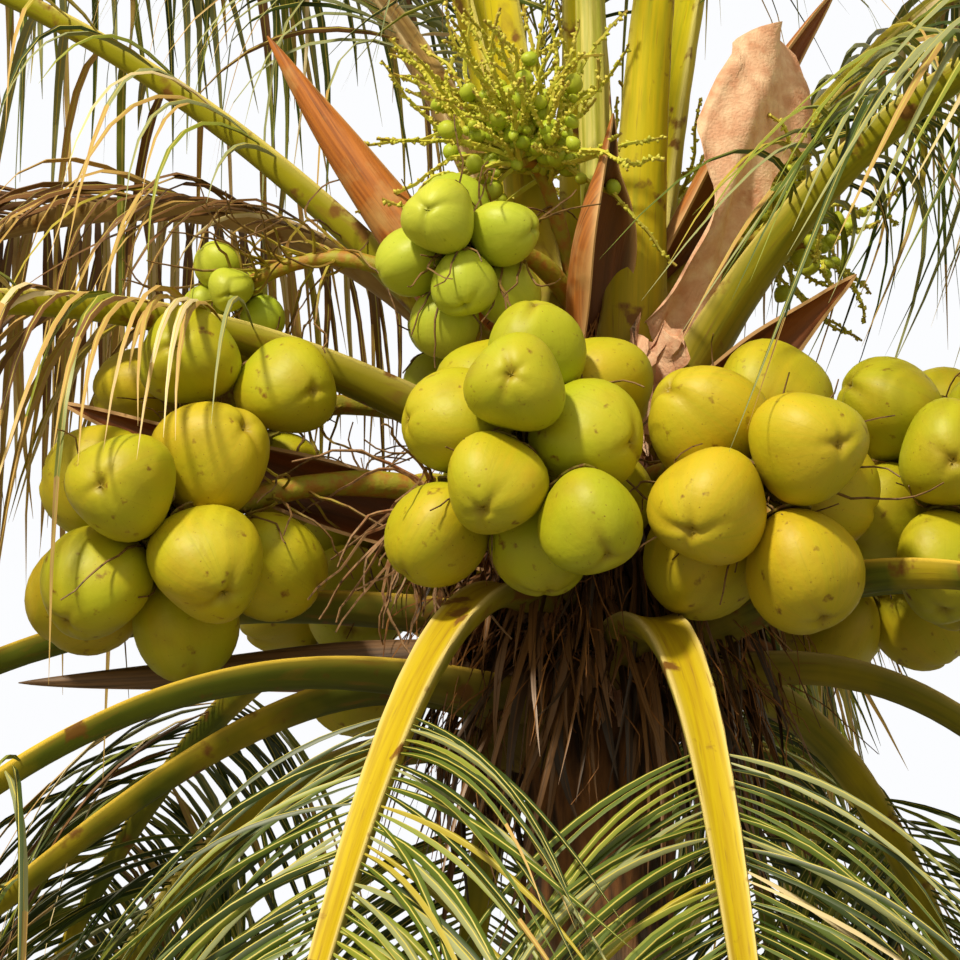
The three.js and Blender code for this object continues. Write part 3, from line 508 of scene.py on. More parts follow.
for z in range(0, CROWN + CLAIM_HEIGHT, CLAIM_HEIGHT):
    claims.append((trunk_axis(z), trunk_axis(z + CLAIM_HEIGHT), trunk_radius(z + CLAIM_HEIGHT)))
for frond in fronds:
    for i in range(0, RIB_STEPS, CLAIM_STEPS):
        a, b = (Vector(frond.frames[k, 0]) for k in (i, i + CLAIM_STEPS))
        claims.append((a, b, 0.5 * rib_width(frond, i / RIB_STEPS)))
for name, turn, base, aim, pitch, length, width, _ in SHEATHS:
    start, ahead = seat(turn, base), heading(aim, pitch)
    claims.append((start + ahead * 0.1 * length, start + ahead * 0.8 * length, 0.85 * width))
    claims.append((start + ahead * 0.8 * length, start + ahead * length, 0.4 * width))
strands_middle = clusters[-1].middle - UP * STRANDS_BELOW
claims.append((strands_middle, strands_middle, STRANDS_ROOM))
for bunch in bunches + clusters:
    path = stalk_path(bunch, 4)
    for a, b in zip(path, path[1:]):
        claims.append((a, b, 0.8 * bunch.thick))
print("claims:", len(claims))

# %% [markdown]
# ## Packing the nuts
# The nuts of a bunch start out spread over a ball. Each is drawn to the middle of its bunch and pushed off
# its neighbours and off the limbs, again and again, until they only touch. That is how a real bunch fills:
# the nuts swell until they press on each other.

# %% Settle the nuts
SETTLE_STEPS = 120
PULLED_STEPS = 90
PULL = 0.06
NEAR_BUNCHES = 900
NEAR_CLAIMS = 520
GOLDEN_TURN = 137.508
NUT_LENGTH = 1.12
NUT_WIDTH = 1.02
# How ripe the nuts of a bunch are, where it isn't half.
RIPENESS = {"front": 0.25, "front_right": 0.7, "right": 0.5, "left_upper": 0.35}


def start_nuts(index, bunch):
    """A bunch's nuts, spread evenly over a ball."""
    for k in range(bunch.count):
        height = 1 - 2 * (k + 0.5) / bunch.count
        out = heading(GOLDEN_TURN * k + 40 * index) * math.sqrt(1 - height ** 2)
        out.z = height
        yield SimpleNamespace(
            bunch=bunch, place=bunch.middle + out * 1.6 * bunch.radius,
            radius=bunch.radius * (0.94 + 0.12 * chance(100 * index + k)),
        )


def part_nuts(a, b, need):
    """Pushes two nuts apart until they have the room that they need."""
    apart = b.place - a.place
    gap = apart.length
    if gap < need:
        apart *= (need - gap) / (2 * max(gap, 1))
        a.place = a.place - apart
        b.place = b.place + apart


def clear_nut(nut, claim):
    """Pushes a nut off a limb that it is too near to."""
    a, b, radius = claim
    near, share = intersect_point_line(nut.place, a, b) if a != b else (a, 0)
    near = a if share <= 0 else b if share >= 1 else near
    away = nut.place - near
    need = radius + NUT_LENGTH * nut.radius + 2
    gap = away.length
    if gap < need:
        nut.place = nut.place + away * ((need - gap) / max(gap, 1))


def settle(nuts):
    """Draws the nuts together and pushes them apart, until they only touch."""
    pairs = []
    for i, a in enumerate(nuts):
        for b in nuts[i + 1:]:
            spacing = 1.05 if a.bunch is b.bunch else 1.15
            if (a.bunch.middle - b.bunch.middle).length < NEAR_BUNCHES:
                pairs.append((a, b, (a.radius + b.radius) * spacing))
    ends = np.array([[*a, *b, r] for a, b, r in claims])
    near = {}
    for bunch in bunches:
        middle = np.array(bunch.middle)
        line = ends[:, 3:6] - ends[:, :3]
        share = np.sum((middle - ends[:, :3]) * line, axis=1) / np.maximum(np.sum(line * line, axis=1), 1e-9)
        gap = np.linalg.norm(ends[:, :3] + np.clip(share, 0, 1)[:, None] * line - middle, axis=1)
        near[bunch.name] = [claims[k] for k in np.flatnonzero(gap - ends[:, 6] < NEAR_CLAIMS)]
    for step in range(SETTLE_STEPS):
        if step < PULLED_STEPS:
            for nut in nuts:
                nut.place = nut.place.lerp(nut.bunch.middle, PULL)
        for a, b, need in pairs:
            part_nuts(a, b, need)
        for nut in nuts:
            for claim in near[nut.bunch.name]:
                clear_nut(nut, claim)


nuts = [nut for index, bunch in enumerate(bunches) for nut in start_nuts(index, bunch)]
settle(nuts)
for nut in nuts:
    nut.axis = ((nut.place - nut.bunch.middle).normalized() - UP * 0.45).normalized()
print("nuts:", len(nuts))

# %% [markdown]
# ## Leaf stalks
# A coconut's leaf stalk is a gutter: a shallow channel above, thick rounded shoulders, and a belly below.
# It carries the rain to the crown. Its skin is smooth with a dull sheen, yellow above where it is old and
# olive below, with long streaks, brown blotches, a pale line along each edge and scurf where it clasps the
# heart. One section, swept along the smooth midrib, makes each of them, and numbers on its points, such as
# `upper` and `edge`, tell the material where it is.

# %% Leaf stalk finishes
# Sideways in half widths, upwards in heights, how much it faces up, and how much it is an edge.
STALK_SECTION = [
    (-0.93, 0.37, 1, 1), (-0.72, 0.31, 1, 0.1), (-0.42, 0.23, 1, 0), (0, 0.19, 1, 0), (0.42, 0.23, 1, 0),
    (0.72, 0.31, 1, 0.1), (0.93, 0.37, 1, 1), (1.0, 0.32, 0.6, 1), (1.0, 0.2, 0, 0.3), (0.92, -0.06, 0, 0),
    (0.77, -0.34, 0, 0), (0.5, -0.56, 0, 0), (0, -0.66, 0, 0), (-0.5, -0.56, 0, 0), (-0.77, -0.34, 0, 0),
    (-0.92, -0.06, 0, 0), (-1.0, 0.2, 0, 0.3), (-1.0, 0.32, 0.6, 1),
]
SCURF_REACH = 0.07


def stalk_finish(name, above, above_worn, below, below_worn, edge_tone):
    """Smooth skin of a leaf stalk: a dull sheen over long streaks, brown blotches and scurf at its foot."""
    material, tree, shader = new_finish(name, 0.6)
    shader.inputs["Specular IOR Level"].default_value = 0.18
    here = add(tree, "ShaderNodeTexCoord").outputs["Object"]
    parts = {n: add(tree, "ShaderNodeAttribute", attribute_name=n).outputs["Fac"]
             for n in ("upper", "edge", "along", "sideways")}
    lengthwise = add(tree, "ShaderNodeCombineXYZ", {
        "X": parts["sideways"], "Y": parts["along"], "Z": parts["upper"],
    })
    streaks = add(tree, "ShaderNodeMapping", {"Vector": lengthwise, "Scale": (1, 0.05, 1)})
    top = mottle(tree, colour(above), above_worn, 9, 0.45, 0.75, streaks)
    middle = add(tree, "ShaderNodeMath", {0: parts["sideways"]}, operation="ABSOLUTE")
    middle = add(tree, "ShaderNodeMapRange", {
        "Value": middle, "From Min": 0.012, "From Max": 0.0, "To Max": 0.45,
    })
    top = add(tree, "ShaderNodeMix", {"Factor": middle, "A": top, "B": colour(above_worn)}, data_type="RGBA")
    under = mottle(tree, colour(below), below_worn, 12, 0.4, 0.7, streaks)
    under = mottle(tree, under, above, 260, 0.5, 0.75, here)
    tone = add(tree, "ShaderNodeMix", {"Factor": parts["upper"], "A": under, "B": top}, data_type="RGBA")
    tone = add(tree, "ShaderNodeMix", {
        "Factor": parts["edge"], "A": tone, "B": colour(edge_tone),
    }, data_type="RGBA")
    tone = mottle(tree, tone, "#7a5420", 70, 0.6, 0.66, here, detail=9.0)
    tone = mottle(tree, tone, "#8a6a24", 5, 0.6, 0.8, streaks)
    scurf = add(tree, "ShaderNodeAttribute", attribute_name="scurf").outputs["Fac"]
    tone = add(tree, "ShaderNodeMix", {"Factor": scurf, "A": tone, "B": colour("#6e4a2c")}, data_type="RGBA")
    paint(tree, shader, tone)
    rough_skin(tree, shader, 10, 0.8, streaks)
    return material


stalk_finishes = {
    "hanging": stalk_finish("old_leaf_stalk", "#bba40a", "#a4860c", "#87801c", "#6a6a18", "#d8c478"),
    "low": stalk_finish("low_leaf_stalk", "#c0a61c", "#94821c", "#626c18", "#485414", "#d6b640"),
    "middle": stalk_finish("middle_leaf_stalk", "#b0a616", "#8f8c12", "#989212", "#747a12", "#cfc068"),
    "upper": stalk_finish("young_leaf_stalk", "#c8bc12", "#a8aa12", "#ccb810", "#a6a612", "#d8cf74"),
    "dry": stalk_finish("dry_leaf_stalk", "#b8975a", "#8a6434", "#a88a50", "#6e4c28", "#cdb488"),
}
DRY_FRONDS = ("middle_5", "middle_7")

# %% Leaf stalks and midribs
RIB_RINGS = 96


def add_rib(skin, frond):
    """Sweeps the section of a leaf stalk along one frond's midrib."""
    shares = np.linspace(0, 1, RIB_RINGS) ** 1.25
    place, _, right, over = rib_at(frond, shares)
    section = np.array(STALK_SECTION)
    half = 0.5 * rib_width(frond, shares)
    high = rib_height(frond, shares)
    knobs = 1 + 0.015 * np.sin(shares * 210 + frond.index)[:, None] * np.sin(np.arange(len(section)) * 2.1)
    across = half[:, None] * section[:, 0] * knobs
    up = high[:, None] * section[:, 1] * knobs
    rows = place[:, None] + across[..., None] * right[:, None] + up[..., None] * over[:, None]
    skin.rings(
        rows, upper=section[:, 2], edge=section[:, 3] * (shares[:, None] < 0.6),
        along=shares[:, None] * frond.length * MM, sideways=(across + 0.6 * up) * MM,
        scurf=np.exp(-shares / SCURF_REACH)[:, None] * 0.85,
    )


for tier in stalk_finishes:
    skin = Skin()
    own = [frond for frond in fronds if tier == ("dry" if frond.name in DRY_FRONDS else frond.tier)]
    for frond in own:
        add_rib(skin, frond)
    skin.make(f"leaf_stalks_{tier}", [stalk_finishes[tier]], "frond", [n for f in own for n in f.nodes])

# %% [markdown]
# ## Leaflets
# A frond has many leaflets on each side, each folded along its own pale midrib. They leave the rib at a
# wide angle near the stalk and at a narrow one near the tip, and hang over under their own weight. The wind
# lays some over and takes some away. That is a formula, so Geometry Nodes make them: one flat leaflet is
# put on every root, realized, and each of its points is moved by the leaflet's own reach, bend and curl.
# Their tints are plain colours dealt out by the handful, green on most fronds and straw on the oldest, and
# a leaflet dries from its tip.

# %% Leaflet finishes
LEAF_TINTS = {
    "deep_green_blade": "#2c3e0a", "green_blade": "#4c5e12", "pale_green_blade": "#7d8628",
    "grey_green_blade": "#8b9163", "yellowing_blade": "#a5962c", "straw_blade": "#b59352",
    "bleached_blade": "#d8c69c", "brown_blade": "#75502c", "rotten_blade": "#35210f",
}
# A blade is leathery, with a soft sheen that lights its upper side, and its midrib is a pale line.
leaf_finishes = [new_finish(name, 0.45, tint)[0] for name, tint in LEAF_TINTS.items()]
STRAW, BROWN, ROTTEN = (list(LEAF_TINTS).index(f"{n}_blade") for n in ("straw", "brown", "rotten"))
vein_finish = new_finish("leaflet_midrib", 0.5, "#bdb054")[0]
dry_vein_finish = new_finish("dry_leaflet_midrib", 0.7, "#5a3c20")[0]
# How a frond's leaflets share the first eight tints, and the share of them that is dry from somewhere on.
LEAF_MIXES = {
    "hanging": ([4, 7, 4, 1.2, 0.7, 0.15, 0.15, 0.1], 0.15), "low": ([5, 5, 2, 1, 1, 0.8, 0.3, 1.0], 0.4),
    "middle": ([3, 6, 3, 2, 0.8, 1, 0.6, 0.3], 0.35), "upper": ([4, 6, 3, 1, 0.6, 0.1, 0, 0], 0.15),
    "middle_1": ([0, 0.3, 0.5, 1, 1, 6, 4, 3], 0.5), "middle_2": ([0.6, 1.2, 3, 6, 1.5, 3, 4, 0.5], 0.6),
    "middle_3": ([1.5, 4, 6, 6, 0.4, 0.1, 0.8, 0], 0.1), "low_3": ([1, 1, 1, 0, 1, 3, 1, 4], 0.6),
    "middle_7": ([2, 3, 3, 5, 1, 1.2, 0.8, 0.4], 0.3), "middle_5": ([0, 0, 0, 0.3, 0.3, 3, 2, 7], 0.5),
}
# The share of a frond's leaflets that the wind has taken.
LOST = {"middle_2": 0.6, "middle_1": 0.12, "middle_7": 0.3}

# %% One flat leaflet
LEAFLET_OUTLINE = {0: 0.3, 0.06: 0.62, 0.18: 0.93, 0.32: 1, 0.5: 0.92, 0.7: 0.68, 0.86: 0.38, 1: 0.03}
LEAFLET_ACROSS = (-1, -0.14, 0.14, 1)
FOLD = 1.0


def new_points(name, spots, faces=(), edges=(), **fields):
    """An object of bare points or faces, whose numbers and directions Geometry Nodes read."""
    mesh = bpy.data.meshes.new(name)
    mesh.from_pydata(spots, list(edges), list(faces))
    for key, values in fields.items():
        values = np.asarray(values, np.float32)
        kind = "FLOAT_VECTOR" if values.ndim == 2 else "FLOAT"
        layer = mesh.attributes.new(key, kind, "POINT")
        layer.data.foreach_set("vector" if values.ndim == 2 else "value", values.ravel())
    return bpy.data.objects.new(name, mesh)


def profile(curve, at):
    """Reads a value off a curve that is given as places and values."""
    return np.interp(at, list(curve), list(curve.values()))


def flat_leaflet(stations):
    """A leaflet with its outline cut at so many stations, closer together near its foot."""
    across = len(LEAFLET_ACROSS)
    far, spread, fold = [], [], []
    for share in np.linspace(0, 1, stations) ** 1.1:
        half = profile(LEAFLET_OUTLINE, share)
        for side in LEAFLET_ACROSS:
            far.append(share)
            spread.append(side * half)
            fold.append(-FOLD * abs(side) * half)
    faces = [(across * i + j, across * i + j + 1, across * (i + 1) + j + 1, across * (i + 1) + j)
             for i in range(stations - 1) for j in range(across - 1)]
    middle = [abs(LEAFLET_ACROSS[k % across]) < 0.5 for k in range(len(far))]
    return new_points(
        "flat_leaflet", [(0, 0, 0)] * len(far), faces, far=far, spread=spread, fold=fold, vein=middle,
    )


leaflet_shape = flat_leaflet(9)
smooth_leaflet_shape = flat_leaflet(13)
print("faces of a leaflet:", len(leaflet_shape.data.polygons), "or", len(smooth_leaflet_shape.data.polygons))

# %% The leaflet tree


def new_tree(name, inputs):
    """A Geometry Nodes tree that takes a mesh and the named inputs, and gives a mesh."""
    tree = bpy.data.node_groups.new(name, "GeometryNodeTree")
    tree.interface.new_socket("Geometry", in_out="INPUT", socket_type="NodeSocketGeometry")
    for label, kind in inputs.items():
        tree.interface.new_socket(label, in_out="INPUT", socket_type=kind)
    tree.interface.new_socket("Geometry", in_out="OUTPUT", socket_type="NodeSocketGeometry")
    return tree, tree.nodes.new("NodeGroupInput").outputs


def grown(source, tree, **inputs):
    """Runs a tree on an object and gives the mesh that it makes, without its source's empty material slot."""
    scene.collection.objects.link(source)
    modifier = source.modifiers.new(tree.name, "NODES")
    modifier.node_group = tree
    for item in tree.interface.items_tree:
        if item.in_out == "INPUT" and item.name.replace(" ", "_").lower() in inputs:
            modifier[item.identifier] = inputs[item.name.replace(" ", "_").lower()]
    ready = source.evaluated_get(bpy.context.evaluated_depsgraph_get())
    mesh = bpy.data.meshes.new_from_object(ready)
    bpy.data.objects.remove(source)
    if mesh.materials and not mesh.materials[0]:
        used = np.empty(len(mesh.polygons), np.int32)
        mesh.polygons.foreach_get("material_index", used)
        finishes = [finish for finish in mesh.materials if finish]
        mesh.materials.clear()
        for finish in finishes:
            mesh.materials.append(finish)
        mesh.polygons.foreach_set("material_index", np.maximum(used - 1, 0))
    return mesh


def leaflet_tree():
    """Puts the flat leaflet on every root and moves its points by that leaflet's own numbers."""
    tree, given = new_tree("leaflets", {
        "Leaflet": "NodeSocketObject", "Width": "NodeSocketFloat", "Vein": "NodeSocketMaterial",
    })
    shape = add(tree, "GeometryNodeObjectInfo", {"Object": given["Leaflet"]}).outputs["Geometry"]
    placed = add(tree, "GeometryNodeInstanceOnPoints", {"Points": given["Geometry"], "Instance": shape})
    mesh = add(tree, "GeometryNodeRealizeInstances", {"Geometry": placed})
    own = {name: add(tree, "GeometryNodeInputNamedAttribute", {"Name": name}, data_type="FLOAT")
           for name in ("far", "half", "spread", "fold", "tint", "dry_from", "vein")}
    far = own["far"]
    squared = add(tree, "ShaderNodeMath", {0: far, 1: far}, operation="MULTIPLY")
    cubed = add(tree, "ShaderNodeMath", {0: squared, 1: far}, operation="MULTIPLY")
    half = add(tree, "ShaderNodeMath", {0: own["half"], 1: given["Width"]}, operation="MULTIPLY")
    wide = add(tree, "ShaderNodeMath", {0: own["spread"], 1: half}, operation="MULTIPLY")
    deep = add(tree, "ShaderNodeMath", {0: own["fold"], 1: half}, operation="MULTIPLY")
    terms = {"reach": far, "bend": squared, "curl": cubed, "wide": wide, "over": deep}
    moved = None
    for name, share in terms.items():
        way = add(tree, "GeometryNodeInputNamedAttribute", {"Name": name}, data_type="FLOAT_VECTOR")
        term = add(tree, "ShaderNodeVectorMath", {0: way, "Scale": share}, operation="SCALE")
        moved = add(tree, "ShaderNodeVectorMath", {0: moved, 1: term}, operation="ADD") if moved else term
    mesh = add(tree, "GeometryNodeSetPosition", {"Geometry": mesh, "Offset": moved})
    for k, finish in enumerate(leaf_finishes):
        chosen = add(tree, "FunctionNodeCompare", {
            "A": own["tint"], "B": float(k), "Epsilon": 0.3,
        }, operation="EQUAL")
        mesh = add(tree, "GeometryNodeSetMaterial", {
            "Geometry": mesh, "Selection": chosen, "Material": finish,
        })
    dry = add(tree, "FunctionNodeCompare", {"A": far, "B": own["dry_from"]}, operation="GREATER_THAN")
    mesh = add(tree, "GeometryNodeSetMaterial", {
        "Geometry": mesh, "Selection": dry, "Material": leaf_finishes[STRAW],
    })
    vein = add(tree, "FunctionNodeCompare", {"A": own["vein"], "B": 0.9}, operation="GREATER_THAN")
    mesh = add(tree, "GeometryNodeSetMaterial", {
        "Geometry": mesh, "Selection": vein, "Material": given["Vein"],
    })
    add(tree, "NodeGroupOutput", {"Geometry": mesh})
    return tree


leaflets = leaflet_tree()

# %% Grow the leaflets
LEAFLETS_A_SIDE = 160
LEAFLET_LENGTH = 830
LEAFLET_HALF = 13
# How wide a leaflet is by its place along the blade: those nearest the heart are as thin as string.
WIDTHS_ALONG = {0: 0.5, 0.1: 0.62, 0.3: 0.85, 0.5: 1, 0.8: 0.9, 1: 0.6}
HANG = {"hanging": 0.75, "low": 1.1, "middle": 1.15, "upper": 1.0}
# Where the wind lays the leaflets of a frond over, as shares of their length.
BLOWN = {"middle_3": (-0.4, -0.15, 0)}
WIDTH_SCALE = 1.0
# A leaflet's angle to the rib in degrees, at the stalk and at the tip.
FIRST_ANGLE = 66
LAST_ANGLE = 26
# A leaflet sags by its weight and draws back a little as it does.
SAG = 0.62
DRAWN_BACK = 0.3
KEPT_CLEAR = 12
TRIED_LENGTHS = (1, 0.75, 0.5)
TESTED_AT = (0.3, 0.5, 0.7, 0.85, 1.0)


def length_at(directions):
    return np.linalg.norm(directions, axis=-1, keepdims=True)


obstacles = [(c[0], c[1], c[2]) for c in claims] + [(n.place, n.place, 1.06 * n.radius) for n in nuts]
obstacle_ends = np.array([[*a, *b, r] for a, b, r in obstacles])
TRUNK_CLAIMS = (CROWN + CLAIM_HEIGHT) // CLAIM_HEIGHT
FROND_CLAIMS = RIB_STEPS // CLAIM_STEPS


def is_blocked(spots, frond):
    """Whether any of a leaflet's sample points is inside what another piece claims."""
    first = TRUNK_CLAIMS + FROND_CLAIMS * frond.index
    others = np.delete(obstacle_ends, slice(first, first + FROND_CLAIMS), axis=0)
    line = others[:, 3:6] - others[:, :3]
    along = spots[:, :, None] - others[:, :3]
    share = np.sum(along * line, axis=-1) / np.maximum(np.sum(line * line, axis=-1), 1e-9)
    gap = np.linalg.norm(along - np.clip(share, 0, 1)[..., None] * line, axis=-1)
    return np.any(gap < others[:, 6] + KEPT_CLEAR, axis=(1, 2))


def leaflet_rows(frond):
    """The roots, directions and sizes of a frond's leaflets."""
    rng = np.random.default_rng(400 + frond.index)
    n = LEAFLETS_A_SIDE
    gathered = []
    weight = HANG[frond.tier]
    blown = np.array(BLOWN.get(frond.name, (0, 0, 0)))
    for side in (1, -1):
        b = np.clip((np.arange(n) + 0.5 + rng.uniform(-0.3, 0.3, n)) / n, 0, 1)
        shares = frond.bare + b * (BLADE_END - frond.bare)
        place, ahead, right, over = rib_at(frond, shares)
        half_rib = 0.5 * rib_width(frond, shares)[:, None]
        length = LEAFLET_LENGTH * np.sin(np.pi * (0.29 + 0.63 * b)) ** 0.8 * rng.uniform(0.84, 1.0, n)
        angle = np.radians(FIRST_ANGLE + (LAST_ANGLE - FIRST_ANGLE) * b + rng.normal(0, 4, n))
        out = ahead * np.cos(angle)[:, None] + right * (side * np.sin(angle))[:, None]
        out = out + over * (0.1 + rng.normal(0, 0.13, n))[:, None]
        out /= length_at(out)
        heavy = weight * rng.uniform(0.75, 1.25, n) * np.where(rng.random(n) < 0.08, 1.5, 1)
        long = (length - half_rib[:, 0])[:, None]
        wide = ahead - out * np.sum(ahead * out, axis=1, keepdims=True)
        wide /= length_at(wide)
        top = np.cross(out, wide) * side
        roll = rng.normal(0, 0.35, n)[:, None]
        wide, top = wide * np.cos(roll) + top * np.sin(roll), top * np.cos(roll) - wide * np.sin(roll)
        sag = -DRAWN_BACK * heavy[:, None] * out * long - SAG * (heavy[:, None] * long) * np.array(UP)
        curl = rng.normal(0, 0.045, (n, 3)) * long
        half = LEAFLET_HALF * profile(WIDTHS_ALONG, b) * rng.uniform(0.8, 1.15, n)
        gathered.append(dict(
            root=place + right * side * half_rib * 0.9 + over * 0.2 * rib_height(frond, shares)[:, None],
            reach=out * long, bend=sag + blown * long, curl=curl, wide=wide, over=top, half=half,
        ))
    rows = {key: np.concatenate([g[key] for g in gathered]) for key in gathered[0]}
    fit = np.zeros(2 * n)
    for part in reversed(TRIED_LENGTHS):
        q = np.array(TESTED_AT)[:, None] * part
        spots = rows["root"][:, None] + rows["reach"][:, None] * q + rows["bend"][:, None] * q ** 2
        fit[~is_blocked(spots, frond)] = part
    for key, power in (("reach", 1), ("bend", 2), ("curl", 3)):
        rows[key] = rows[key] * (fit ** power)[:, None]
    mix, dry_share = LEAF_MIXES.get(frond.name, LEAF_MIXES[frond.tier])
    handful = np.repeat(rng.choice(len(mix), size=n, p=np.array(mix) / sum(mix)), 2)
    own = rng.choice(len(mix), size=2 * n, p=np.array(mix) / sum(mix))
    rows["tint"] = np.where(rng.random(2 * n) < 0.5, handful, own)
    rows["dry_from"] = np.where(rng.random(2 * n) < dry_share, rng.uniform(0.5, 0.9, 2 * n), 2.0)
    kept = (fit > 0) & (rng.random(2 * n) >= LOST.get(frond.name, 0))
    return {key: values[kept] for key, values in rows.items()}


for tier in TIERS:
    own = [frond for frond in fronds if frond.tier == tier]
    found = [leaflet_rows(frond) for frond in own]
    rows = {key: np.concatenate([f[key] for f in found]) for key in found[0]}
    for key in ("root", "reach", "bend", "curl", "half"):
        rows[key] = rows[key] * MM
    roots = new_points("leaflet_roots", rows.pop("root").tolist(), **rows)
    shape = smooth_leaflet_shape if tier == "hanging" else leaflet_shape
    mesh = grown(roots, leaflets, leaflet=shape, width=WIDTH_SCALE, vein=vein_finish)
    piece(f"leaflets_{tier}", mesh, [], [n for f in own for n in f.nodes], crease=180)
    print("  of", 2 * LEAFLETS_A_SIDE * len(own), "leaflets", len(rows["tint"]), "had room")

# %% [markdown]
# ## Nuts
# A coconut in its husk is nearly a ball, faintly three-sided, with a small pit at its outer end and soft
# creases that run into it. Its skin is thin and smooth with a soft shine: yellow-green, golden where it has
# ripened, with brown scuffs and fine streaks from end to end. Five shapes are modelled, and a second tree
# sets them on the places that the nuts settled in, turned and sized one by one. The leathery bracts at the
# stem end are a shape too.

# %% Husk finishes


def husk(name, green, gold, blush, scuff_and_shade, scuffed, roughness):
    """Smooth skin of a fruit: a soft broad highlight, a riper outer end, and streaks, scabs and specks."""
    material, tree, shader = new_finish(name, roughness)
    shader.inputs["Specular IOR Level"].default_value = 0.32
    here = add(tree, "ShaderNodeTexCoord").outputs["Object"]
    parts = {n: add(tree, "ShaderNodeAttribute", attribute_name=n).outputs["Fac"]
             for n in ("tip", "round", "crease", "ripe")}
    skin = add(tree, "ShaderNodeCombineXYZ", {"X": parts["round"], "Y": parts["tip"], "Z": parts["ripe"]})
    streaks = add(tree, "ShaderNodeMapping", {"Vector": skin, "Scale": (0.035, 0.006, 1)})
    # A nut ripens in patches of about 110 millimetres.
    patches = add(tree, "ShaderNodeTexNoise", {"Vector": here, "Scale": 9.0, "Detail": 2.0})
    ripeness = add(tree, "ShaderNodeMath", {0: parts["ripe"], 1: patches}, operation="ADD")
    ripeness = add(tree, "ShaderNodeMapRange", {"Value": ripeness, "From Min": 0.62, "From Max": 1.25})
    tone = add(tree, "ShaderNodeMix", {
        "Factor": ripeness, "A": colour(green), "B": colour(gold),
    }, data_type="RGBA")
    blushed = add(tree, "ShaderNodeMapRange", {
        "Value": parts["tip"], "From Min": 0.45, "From Max": 1.0, "To Max": 0.55,
    })
    tone = add(tree, "ShaderNodeMix", {"Factor": blushed, "A": tone, "B": colour(blush)}, data_type="RGBA")
    tone = mottle(tree, tone, green, 6, 0.3, 1.6, streaks)
    tone = mottle(tree, tone, scuff_and_shade, 3, 0.6, 1.7, streaks)
    tone = mottle(tree, tone, scuff_and_shade, 90, 0.54, 1.3, here)
    tone = mottle(tree, tone, scuff_and_shade, 26, 1 - scuffed, 1 - scuffed + 0.1, here, detail=9.0)
    tone = mottle(tree, tone, scuff_and_shade, 5, 0.68, 0.76, here)
    # Painted shade: the creases and the pit are darkened towards the scuff colour.
    painted_crease_shade = add(tree, "ShaderNodeMath", {0: parts["crease"], 1: 0.55}, operation="MULTIPLY")
    tone = add(tree, "ShaderNodeMix", {"Factor": painted_crease_shade, "A": tone, "B": colour(scuff_and_shade)}, data_type="RGBA")
    paint(tree, shader, tone)
    rough_skin(tree, shader, 14, 0.9, here)
    return material


full_husk = husk("coconut_husk", "#a3aa18", "#c0a41a", "#b9ae28", "#7a5418", 0.36, 0.5)
young_husk = husk("young_coconut_husk", "#9fb22a", "#b8bc36", "#c4c848", "#7f8022", 0.3, 0.46)
# The bracts are dry leather, dull and blotched brown, so they part the shiny nut from its twig.
bract, tree, shader = new_finish("fruit_bract", 0.7)
here = add(tree, "ShaderNodeTexCoord").outputs["Object"]
tone = mottle(tree, colour("#8c8426"), "#6b4a20", 14, 0.4, 0.6, here)
paint(tree, shader, tone)
rough_skin(tree, shader, 5, 0.8, here)

# %% Five nuts and their bracts
NUT_ROWS = 28
NUT_SIDES = 40
BRACT_SIDES = 24
# Down the bracts' outer face and back under it: the share of their reach, and how far they stand off the nut.
BRACT_PROFILE = ((0.1, 1.05), (0.5, 1.05), (0.85, 1.06), (1.0, 1.09), (1.0, 1.055), (0.5, 0.99), (0.1, 0.99))
# Each shape's creases: where they run round the pit in degrees, how far they reach in radians, and how deep.
CREASES = [
    [(10, 0.75, 0.8), (128, 0.5, 0.6), (250, 0.9, 1.0)],
    [(0, 0.5, 0.6), (75, 0.9, 1.0), (160, 0.45, 0.6), (285, 0.6, 0.8)],
    [(30, 0.4, 0.6), (95, 0.6, 0.8), (190, 0.4, 0.5), (240, 0.7, 0.9), (320, 0.5, 0.6)],
    [(0, 0.9, 0.9), (115, 0.9, 0.7), (235, 0.7, 0.9)],
    [(40, 0.35, 0.5), (150, 0.5, 0.7), (215, 0.35, 0.5), (300, 0.45, 0.6)],
]


def nut_points(height, around, lobes, creases):
    """The surface of a nut one unit in radius, from its stem end at height 0 to its pit at height 1."""
    polar = math.pi * height
    outer = math.pi - polar
    crease = np.zeros_like(polar)
    for turn, reach, deep in creases:
        off = np.angle(np.exp(1j * (around - math.radians(turn))))
        wide = 0.55 * (0.16 + 0.1 * outer)
        away = off * np.sin(polar) + 0.02 * np.sin(9 * outer)
        fade = np.exp(-((outer / reach) ** 2)) * (np.cos(off) > 0)
        crease += deep * np.exp(-((away / wide) ** 2)) * fade
    swell = 0.078 * np.cos(3 * around + lobes) * np.sin(polar) ** 1.3 + 0.02 * np.cos(2 * around - 2 * lobes)
    flat = 0.04 * np.exp(-((outer / 0.7) ** 2)) + 0.03 * np.exp(-((polar / 0.5) ** 2))
    radius = 1 + swell * np.sin(polar) - 0.085 * crease - flat
    pit = 0.07 * np.exp(-((outer / 0.15) ** 2))
    nipple = 0.055 * np.exp(-((outer / 0.06) ** 2))
    side = NUT_WIDTH * radius * np.sin(polar) * (1 + 0.04 * np.cos(polar))
    top = -NUT_LENGTH * np.cos(polar) * radius * (1 - pit + nipple)
    spots = np.stack([side * np.cos(around), side * np.sin(around), top], axis=-1)
    # The second value marks the creases and the pit, where the husk finish paints shade.
    return spots, np.clip(0.75 * crease + 9 * pit, 0, 1)


